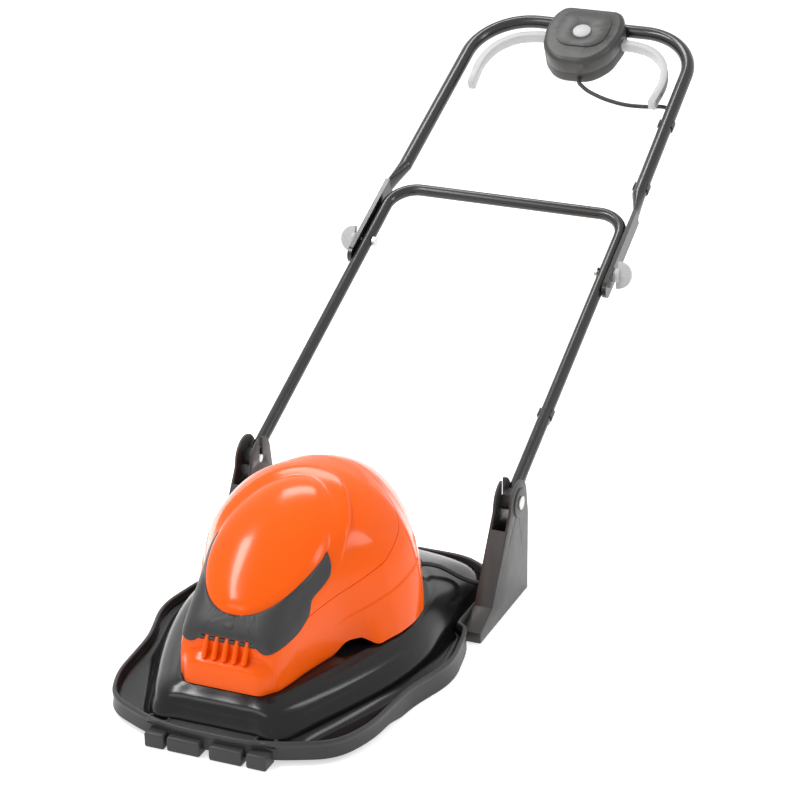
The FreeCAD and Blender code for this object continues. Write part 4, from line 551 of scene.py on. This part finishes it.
def hood_ends(rows, bottom):
    """The flat front and rear walls of the hood."""
    parts = []
    for k in (0, len(rows) - 1):
        angle = np.linspace(bottom[k], math.pi - bottom[k], 90)
        x, z = arch_point(rows[k, 1], rows[k, 2], rows[k, 3], angle)
        rim = np.stack([x, np.full_like(x, -rows[k, 0]), z], -1)
        foot = rim.copy()
        foot[:, 2] = rim[0, 2]
        parts.append((np.vstack([rim, foot]), grid_faces(2, 90)))
    return joined(parts)


def hood_front(x, z):
    """Where the front of the hood lies, for places seen from the front."""
    rows = hood_rows()[:220]
    half, crown, power, y = rows[:, 1], rows[:, 2], rows[:, 3], -rows[:, 0]
    x = np.asarray(x, float)
    z = np.asarray(z, float)
    share = np.clip((z[..., None] - HOOD_FOOT) / (crown - HOOD_FOOT), 0, 1)
    wide = half * (1 - share ** power) ** (1 / power)
    inside = wide >= np.abs(x)[..., None]
    first = np.argmax(inside, axis=-1)
    missing = ~inside.any(axis=-1)
    a = np.clip(first - 1, 0, len(rows) - 1)
    wide_a = np.take_along_axis(wide, a[..., None], -1)[..., 0]
    wide_b = np.take_along_axis(wide, first[..., None], -1)[..., 0]
    t = np.where(first > 0, (np.abs(x) - wide_a) / np.maximum(wide_b - wide_a, 1e-6), 0)
    found = y[a] + np.clip(t, 0, 1) * (y[first] - y[a])
    found[missing] = y[-1]
    return found


VISOR_OUTER = [(79.5, 215), (84.5, 207), (88, 199), (89.8, 188), (86.5, 179.5), (81, 171.5), (82.2, 160),
               (82.5, 152), (78.7, 138), (71.7, 132), (60, 127), (53, 126.2), (48, 128.5), (41.9, 133.5),
               (36, 139.5), (31, 140.4), (16, 140.2), (0, 140)]
VISOR_INNER = [(79, 214.5), (77, 209), (72.8, 202), (65.2, 190.5), (52.4, 179), (34.1, 170), (17, 165.2),
               (0, 163.8)]


def mirrored_line(half):
    """A line from its right half, as left end, middle and right end."""
    return [(-x, z) for x, z in half] + [(x, z) for x, z in reversed(half[:-1])]


def make_visor():
    """The dark crescent panel, standing proud of the hood with a soft edge."""
    outer = even(spread(rounded(mirrored_line(VISOR_OUTER), 0.35, closed=False, steps=5), 0.5, False), 260)
    inner = even(spread(rounded(mirrored_line(VISOR_INNER), 0.45, closed=False, steps=5), 0.5, False), 260)
    across = np.concatenate([[0, 0.012, 0.03], np.linspace(0.07, 0.93, 15), [0.97, 0.988, 1]])
    rise = np.concatenate([[-0.4, 1.7, 2.5], np.full(15, 2.8), [2.5, 1.7, -0.4]])
    grid = outer[:, None, :] * (1 - across)[None, :, None] + inner[:, None, :] * across[None, :, None]
    x, z = grid[..., 0], grid[..., 1]
    y = hood_front(x, z)
    step = 0.8
    slope_x = (hood_front(x + step, z) - hood_front(x - step, z)) / (2 * step)
    slope_z = (hood_front(x, z + step) - hood_front(x, z - step)) / (2 * step)
    normal = np.stack([slope_x, -np.ones_like(x), slope_z], -1)
    normal /= np.linalg.norm(normal, axis=-1, keepdims=True)
    place = np.stack([x, y, z], -1)
    egg = egg_rise(place, normal)
    lift = rise[None, :] + soft_positive(egg + 0.3 - 2.0, 1.0) * (egg > -6)
    surface = place + normal * lift[..., None]
    points, faces = shell_of(surface, normal, 2.0)
    piece("visor_panel", points, faces, "chassis", TRIM, ["visor"], sharp=50)


def even(points, count):
    """A line's points moved to even distances."""
    step = np.linalg.norm(np.diff(points, axis=0), axis=1)
    run = np.concatenate([[0], np.cumsum(step)])
    wanted = np.linspace(0, run[-1], count)
    return np.stack([np.interp(wanted, run, points[:, k]) for k in range(points.shape[1])], -1)


def capsule(start, end, radius, around=20, round_steps=5):
    """Points and faces of a round ended rod."""
    start, end = np.array(start, float), np.array(end, float)
    way = (end - start) / np.linalg.norm(end - start)
    side = np.cross(way, [1, 0, 0] if abs(way[0]) < 0.9 else [0, 1, 0])
    side /= np.linalg.norm(side)
    other = np.cross(way, side)
    rings = []
    for centre, first, last in ((start, -90, 0), (end, 0, 90)):
        for degrees in np.linspace(first, last, round_steps):
            bend = math.radians(degrees)
            reach = max(radius * math.cos(bend), 0.01)
            turn = np.linspace(0, 2 * math.pi, around, endpoint=False)
            rings.append(centre + way * radius * math.sin(bend)
                         + reach * (np.cos(turn)[:, None] * side + np.sin(turn)[:, None] * other))
    return lofted(rings, True, True)


FINS = 5
FIN_SPACING = 14.6


def make_vent():
    """Five slanted fins on the ledge under the visor, with black rods between their upper ends as painted shade of
    the gaps.
    """
    parts = []
    for i in range(FINS):
        x = (i - 2) * FIN_SPACING
        parts.append(capsule((x, -505.0, 138.5), (x, -518.6, 115.2), 3.6))
    points, faces = joined(parts)
    piece("vent_fins", points, faces, "chassis", ORANGE, ["vent_grille"], sharp=60)
    # Black rods between the fin tops: painted shade standing in for the shaded gaps of the grille.
    slots = []
    for i in range(FINS + 1):
        x = (i - 2.5) * FIN_SPACING
        slots.append(capsule((x - 3.4, -507.0, 136.0), (x + 3.4, -507.0, 136.0), 3.0))
    points, faces = joined(slots)
    piece("vent_gap_shade_rods", points, faces, "chassis", VENT_GAP_SHADE, sharp=60)


make_hood()
make_visor()
make_vent()


# Deck

SPINDLE = (0.0, -340.0)
DECK_FRONT = -574.0
DECK_BACK = 45.0
FLOOR_Z = 18.0
DOME_Z = 74.0
DECK_WALL = 3.0
RIM_WIDE = 7.0
DECK_HALF = [(74, DECK_FRONT), (166, -531), (190, -470), (199, -358), (226, -268), (212, -190), (204, -163),
             (190.7, -159), (190.7, DECK_BACK)]
DOME_LEVELS = [
    (15.0, [(0, 16), (50, 16), (98, 20), (134, 94), (176, 209), (194, 300), (190, 378), (179, 470),
            (176, 562), (150, 596), (75, 605), (0, 606)]),
    (47.5, [(0, 24), (46, 24), (90, 29), (124, 98), (163, 209), (182, 300), (178, 378), (166, 460),
            (150, 536), (125, 567), (62, 582), (0, 583)]),
    (65.7, [(0, 33), (42, 33), (82, 40), (114, 104), (149, 210), (168, 300), (165, 376), (152, 440),
            (126, 492), (100, 514), (52, 523), (0, 524)]),
    (74.0, [(0, 46), (38, 46), (72, 54), (98, 112), (130, 212), (154, 298), (156, 368), (142, 424),
            (116, 463), (88, 482), (44, 490), (0, 491)]),
]


def deck_radii():
    """Radii round the spindle of the rim's outline and of the dome's levels."""
    outline = rounded(both_sides(DECK_HALF), 0.45, 240)
    levels = []
    for height, half in DOME_LEVELS:
        line = smooth_closed(both_sides([(x, DECK_FRONT + behind) for x, behind in half]))
        levels.append((height, radii(line, SPINDLE)))
    return radii(outline, SPINDLE), levels


def dome_radius(levels, height):
    """The dome's radii at a height, smooth through its levels."""
    heights = np.array([h for h, r in levels])
    values = np.array([r for h, r in levels])
    height = np.clip(height, heights[0], heights[-1])
    i = int(np.clip(np.searchsorted(heights, height) - 1, 0, len(heights) - 2))
    slopes = np.gradient(values, heights, axis=0)
    span = heights[i + 1] - heights[i]
    t = (height - heights[i]) / span
    h00 = 2 * t ** 3 - 3 * t ** 2 + 1
    h10 = t ** 3 - 2 * t ** 2 + t
    h01 = -2 * t ** 3 + 3 * t ** 2
    h11 = t ** 3 - t ** 2
    return (h00 * values[i] + h10 * span * slopes[i] + h01 * values[i + 1] + h11 * span * slopes[i + 1])


def make_deck():
    """The deck as one skin: intake, dome, gutter, rolled rim, skirt and the inside."""
    outer, levels = deck_radii()
    inner = outer - RIM_WIDE
    foot = dome_radius(levels, FLOOR_Z)
    room = np.maximum(inner - foot, 2.0)
    corner = np.minimum(10.0, 0.42 * room)
    y_out = SPINDLE[1] + outer * np.sin(ANGLES)
    low = 8.0 * smoothstep((-376 - y_out) / 50)
    rings = [ring_at(SPINDLE, np.full(COUNT, 75.0), 71.0), ring_at(SPINDLE, np.full(COUNT, 75.0), DOME_Z)]
    top = dome_radius(levels, DOME_Z)
    for inset, height in ((9.0, 74.0), (5.5, 73.9), (2.6, 73.4), (0.6, 72.2)):
        rings.append(ring_at(SPINDLE, top - inset, height))
    for height in (70.5, 68.0, 65.7, 62.0, 57.0, 52.0, 47.5, 42.0, 36.0, 30.0, 26.0):
        rings.append(ring_at(SPINDLE, dome_radius(levels, height), height))
    for share, height in ((0.12, 22.5), (0.4, 19.9), (0.75, 18.6), (1.0, 18.1)):
        rings.append(ring_at(SPINDLE, foot + corner * share, height))
    for share, height in ((1.0, 18.1), (0.6, 18.9), (0.25, 20.6), (0.06, 23.5), (0.0, 27.0)):
        rings.append(ring_at(SPINDLE, inner - corner * share, height))
    for out, height in ((0.0, 30.5), (0.5, 32.6), (1.7, 33.8), (3.0, 34.0), (5.2, 33.8), (6.5, 32.8),
                        (7.0, 31.0), (7.0, 27.6), (6.4, 26.6), (5.6, 26.2), (5.4, 24.0)):
        rings.append(ring_at(SPINDLE, inner + out, height))
    for share in (0.3, 0.6, 0.85):
        rings.append(ring_at(SPINDLE, inner + 5.4 + 1.6 * share, 24.0 * (1 - share) + low * share))
    rings.append(ring_at(SPINDLE, outer, low + 0.8))
    rings.append(ring_at(SPINDLE, outer - 0.8, low))
    rings.append(ring_at(SPINDLE, outer - 3.4, low))
    rings.append(ring_at(SPINDLE, outer - 4.6, 13.0))
    rings.append(ring_at(SPINDLE, outer - 6.0, 15.0))
    for height in (15.0, 30.0, 47.5, 60.0, 68.0):
        rings.append(ring_at(SPINDLE, dome_radius(levels, height) - DECK_WALL - 0.8, height))
    rings.append(ring_at(SPINDLE, top - 6, 71.0))
    points, faces = lofted(rings, loop=True)
    deck = piece("deck_moulding", points, faces, "chassis", DECK, ["deck"], sharp=50)
    deck.data.materials.append(RIM)
    flat = np.asarray([p.center[:] for p in deck.data.polygons])
    flat[:, 1] -= PIVOT.y
    angle = np.arctan2(flat[:, 1] / MM - SPINDLE[1], flat[:, 0] / MM) % (2 * math.pi)
    reach = np.hypot(flat[:, 0] / MM, flat[:, 1] / MM - SPINDLE[1])
    edge = np.interp(angle, ANGLES, inner, period=2 * math.pi)
    for polygon, outside in zip(deck.data.polygons, reach > edge - 0.4):
        polygon.material_index = int(outside)


def bevelled_box(low, high, bevel=2.0, segments=3):
    """Points and faces of a box with rounded edges, by its lowest and highest corner."""
    work = bmesh.new()
    bmesh.ops.create_cube(work, size=1)
    low, high = Vector(low), Vector(high)
    for vert in work.verts:
        vert.co = Vector([low[k] + (vert.co[k] + 0.5) * (high[k] - low[k]) for k in range(3)])
    bmesh.ops.bevel(work, geom=list(work.edges), offset=bevel, segments=segments, profile=0.5,
                    affect="EDGES")
    work.verts.ensure_lookup_table()
    points = np.array([v.co[:] for v in work.verts])
    faces = [tuple(v.index for v in f.verts) for f in work.faces]
    work.free()
    return points, faces


def torus_part(centre, half_x, half_y, radius, height, around=48, section=10):
    """Points and faces of an oval ring lying flat."""
    rings = []
    for k in range(around):
        turn = 2 * math.pi * k / around
        at = np.array([centre[0] + half_x * math.cos(turn), centre[1] + half_y * math.sin(turn), height])
        way = np.array([half_y * math.cos(turn), half_x * math.sin(turn), 0])
        way /= np.linalg.norm(way)
        roll = np.linspace(0, 2 * math.pi, section, endpoint=False)
        up = np.array([0, 0, 1])
        rings.append(at + radius * (np.cos(roll)[:, None] * way + np.sin(roll)[:, None] * up))
    return lofted(rings, loop=True)


def make_deck_trim():
    """The shelf behind the front rim with its two eyelets, and the comb blocks below."""
    parts = [bevelled_box((-62, -569, 27.5), (62, -543, 32.2), 1.4)]
    for side in (-1, 1):
        parts.append(torus_part((side * 78, -558.5), 15, 8.2, 2.6, 31.0))
        parts.append(bevelled_box((side * 78 - 15, -566, 22), (side * 78 + 15, -551, 26), 1.0))
    points, faces = joined(parts)
    piece("deck_shelf", points, faces, "chassis", RIM, sharp=40)
    blocks = []
    for low, high in ((-88, -59), (-55, -7), (6, 54), (60, 89)):
        blocks.append(bevelled_box((low, -584.6, 0.2), (high, -556, 21.5), 3.2, 4))
    points, faces = joined(blocks)
    piece("deck_comb", points, faces, "chassis", RIM, sharp=40)


make_deck()
make_deck_trim()


# Finishes of the carried over nodes

def dress_nodes():
    """Every CAD node gets its finish, smooth but for its sharp edges."""
    slots = node_slots()
    for name, made in frame["nodes"].items():
        made.data.materials.clear()
        made.data.materials.append(SLOT_FINISH[slots[name]])
        made.data.polygons.foreach_set("use_smooth", [True] * len(made.data.polygons))
        made.data.set_sharp_from_angle(angle=math.radians(30))
    for name in ("bracket_right", "bracket_left"):
        frame["nodes"][name].data.materials[0] = BRACKET


dress_nodes()


def soften(names, width):
    """Rounds the sharp edges of CAD nodes a little."""
    for name in names:
        made = frame["nodes"][name]
        weld = made.modifiers.new("weld", "WELD")
        weld.merge_threshold = 0.00001
        bevel = made.modifiers.new("edges", "BEVEL")
        bevel.width = width
        bevel.segments = 2
        bevel.limit_method = "ANGLE"
        bevel.angle_limit = math.radians(35)
        bevel.harden_normals = True


soften(("bracket_right", "bracket_left"), 0.0009)
soften(("lever_right", "lever_left", "switch_box_cover", "switch_box_base"), 0.0006)
soften(("wing_knob_right", "wing_knob_left", "upper_cable_clips", "lower_cable_clip", "pivot_plug_right",
        "pivot_plug_left", "lock_button", "pivot_pins"), 0.0005)


# Cable from the switch box to the hood

CABLE_R = 3.4
PIVOT_END = (205.6, 44, -16.3)
UPPER_CABLE = [(14, 916, -10), (15, 904, -11), (34, 890, -14), (66, 879, -18), (104, 874, -22),
               (141, 878, -24), (170, 882, -22), (189, 868, -18), (195.6, 846, -14.8), (198.2, 740, -14.8),
               (200.4, 652, -14.8)]
LOWER_CABLE = [(200.4, 651.7, -14.8), (199.8, 620, -14.8), (199.2, 540, -15.3), (199.5, 440, -13.3),
               (203.2, 140, -13.3), (204.8, 70, -14.3), PIVOT_END]
DECK_CABLE = [(206, 13, 128), (206, 3, 105), (206, -12, 82), (205.5, -33, 62), (201, -52, 50), (188, -62, 48),
              (172, -67, 50.5), (157, -72, 57.5), (144, -77, 66), (130, -84, 75.5), (113.7, -99.2, 84),
              (95.2, -111.1, 84), (82, -120, 95), (74, -125, 111), (68.5, -131, 124.5), (66, -139, 132),
              (66, -150, 133)]


def round_bar(line, radius, around=18):
    """Points and faces of a round bar along a dense line."""
    way = np.gradient(line, axis=0)
    way /= np.linalg.norm(way, axis=1)[:, None]
    side = np.cross(way[0], [1.0, 0.2, 0.1])
    turn = np.linspace(0, 2 * math.pi, around, endpoint=False)
    rings = []
    for at, ahead in zip(line, way):
        side = side - ahead * (side @ ahead)
        side /= np.linalg.norm(side)
        other = np.cross(ahead, side)
        rings.append(at + radius * (np.cos(turn)[:, None] * side + np.sin(turn)[:, None] * other))
    return lofted(rings, True, True)


def row_to_machine(points):
    """Metres in the row frame, as millimetres behind the pivot line and above the ground."""
    moved = np.array(points, float)
    moved[..., 1] -= PIVOT.y
    return moved / MM


def cable_piece(name, corners, node, place, bodies, span=None):
    """One stretch of the cable, riding on its first body; when a span is given it rides on no body."""
    line = even(spread(rounded(corners, closed=False, steps=12), 1.5, False), 40 * len(corners))
    points, faces = round_bar(line, CABLE_R)
    made = piece(name, points, faces, bodies[0] if span is None else None, CABLE, [node], 60, place)
    if span is not None:
        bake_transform(made)


top_of_deck_cable = row_to_machine(handle_to_row(PIVOT_END))
cable_piece("cable_upper_stretch", UPPER_CABLE, "cable_upper", handle_to_row, ["upper_handle"])
cable_piece("cable_lower_stretch", LOWER_CABLE, "cable_lower", handle_to_row,
            ["lower_handle", "upper_handle"],
            (handle_to_row((199.4, 440, -13)), handle_to_row((199.4, 500, -13))))
cable_piece("cable_deck_stretch", [tuple(top_of_deck_cable)] + DECK_CABLE, "cable_deck", machine_to_row,
            ["chassis", "lower_handle"],
            (machine_to_row((206, -8, 88)), handle_to_row(PIVOT_END)))


# Floor, light and camera

def stage_material(name, colour):
    """A plain pale surface with a glow of its own, near white from everywhere."""
    material = bpy.data.materials.new(name)
    material.use_nodes = True
    nodes = material.node_tree.nodes
    links = material.node_tree.links
    shader = nodes["Principled BSDF"]
    shader.inputs["Base Color"].default_value = (*colour, 1)
    shader.inputs["Roughness"].default_value = 0.9
    place = nodes.new("ShaderNodeTexCoord")
    noise = nodes.new("ShaderNodeTexNoise")
    noise.inputs["Scale"].default_value = 3.0
    links.new(place.outputs["Object"], noise.inputs["Vector"])
    level = nodes.new("ShaderNodeMapRange")
    level.inputs["To Min"].default_value = 0.85
    level.inputs["To Max"].default_value = 0.95
    links.new(noise.outputs["Fac"], level.inputs["Value"])
    links.new(level.outputs["Result"], shader.inputs["Roughness"])
    shader.inputs["Emission Color"].default_value = (1, 1, 1, 1)
    shader.inputs["Emission Strength"].default_value = 0.6
    return material


def make_floor():
    """A wide pale floor that rises into a backdrop far behind."""
    back, radius, top = 7.0, 2.0, 9.0
    line = [(-9.0, 0.0), (back, 0.0)]
    for degrees in range(6, 91, 6):
        turn = math.radians(degrees)
        line.append((back + radius * math.sin(turn), radius - radius * math.cos(turn)))
    line.append((back + radius, top))
    rings = np.array([[(x, y, z) for x in (-14.0, 14.0)] for y, z in line])
    points = rings.reshape(-1, 3)
    mesh = bpy.data.meshes.new("floor")
    mesh.from_pydata([tuple(p) for p in points], [], grid_faces(len(line), 2))
    mesh.polygons.foreach_set("use_smooth", [True] * len(mesh.polygons))
    floor = bpy.data.objects.new("floor", mesh)
    bpy.context.scene.collection.objects.link(floor)
    floor.data.materials.append(stage_material("floor_pale", (0.93, 0.93, 0.93)))


def make_world():
    """A soft even light, seen as white by the camera and in reflections."""
    world = bpy.data.worlds.new("studio")
    bpy.context.scene.world = world
    world.use_nodes = True
    nodes = world.node_tree.nodes
    links = world.node_tree.links
    nodes.clear()
    output = nodes.new("ShaderNodeOutputWorld")
    light = nodes.new("ShaderNodeBackground")
    light.inputs["Color"].default_value = (1, 1, 1, 1)
    light.inputs["Strength"].default_value = 0.38
    seen = nodes.new("ShaderNodeBackground")
    seen.inputs["Color"].default_value = (1, 1, 1, 1)
    seen.inputs["Strength"].default_value = 1.0
    rays = nodes.new("ShaderNodeLightPath")
    total = rays.outputs["Is Camera Ray"]
    for name in ("Is Glossy Ray", "Is Transmission Ray"):
        plus = nodes.new("ShaderNodeMath")
        plus.operation = "ADD"
        plus.use_clamp = True
        links.new(total, plus.inputs[0])
        links.new(rays.outputs[name], plus.inputs[1])
        total = plus.outputs[0]
    mix = nodes.new("ShaderNodeMixShader")
    links.new(total, mix.inputs["Fac"])
    links.new(light.outputs[0], mix.inputs[1])
    links.new(seen.outputs[0], mix.inputs[2])
    links.new(mix.outputs[0], output.inputs["Surface"])


def softbox(name, place, target, wide, high, watts):
    """A rectangular lamp that faces a target."""
    lamp = bpy.data.lights.new(name, "AREA")
    lamp.shape = "RECTANGLE"
    lamp.size = wide
    lamp.size_y = high
    lamp.energy = watts
    made = bpy.data.objects.new(name, lamp)
    bpy.context.scene.collection.objects.link(made)
    made.location = place
    made.rotation_mode = "QUATERNION"
    made.rotation_quaternion = (Vector(target) - Vector(place)).to_track_quat("-Z", "Y")


def make_lights():
    """A long lamp over the left, one low on the right and a small one behind, with a broad soft top."""
    target = (0.0, -0.55, 0.2)
    softbox("key", (-1.36, -0.75, 2.45), target, 1.8, 0.28, 42)
    softbox("side", (2.0, 0.35, 1.75), target, 0.45, 1.5, 16)
    softbox("rear", (-0.75, 1.05, 2.1), target, 0.9, 0.35, 13)
    softbox("front", (-1.2, -3.4, 2.8), target, 2.0, 1.1, 22)


AZIMUTH = math.radians(22.3)
ELEVATION = math.radians(22.8)
IMAGE_SIDE = 800.0
FOCAL_PIXELS = 2690.0
IMAGE_CENTRE = (419.5, 394.2)


def make_camera():
    """The camera at the photograph's place."""
    camera = bpy.data.objects.new("camera", bpy.data.cameras.new("camera"))
    bpy.context.scene.collection.objects.link(camera)
    bpy.context.scene.camera = camera
    camera.location = machine_to_row([1417.6, -3299.9, 1799.4])
    back = Vector((math.sin(AZIMUTH) * math.cos(ELEVATION), -math.cos(AZIMUTH) * math.cos(ELEVATION),
                   math.sin(ELEVATION)))
    camera.rotation_mode = "QUATERNION"
    camera.rotation_quaternion = (-back).to_track_quat("-Z", "Y")
    camera.data.sensor_width = 36.0
    camera.data.lens = FOCAL_PIXELS / IMAGE_SIDE * camera.data.sensor_width
    camera.data.shift_x = 0.5 - IMAGE_CENTRE[0] / IMAGE_SIDE
    camera.data.shift_y = IMAGE_CENTRE[1] / IMAGE_SIDE - 0.5
    camera.data.clip_start = 0.1
    camera.data.clip_end = 60.0


make_floor()
make_world()
make_lights()
make_camera()
bpy.context.scene.view_settings.view_transform = "Standard"
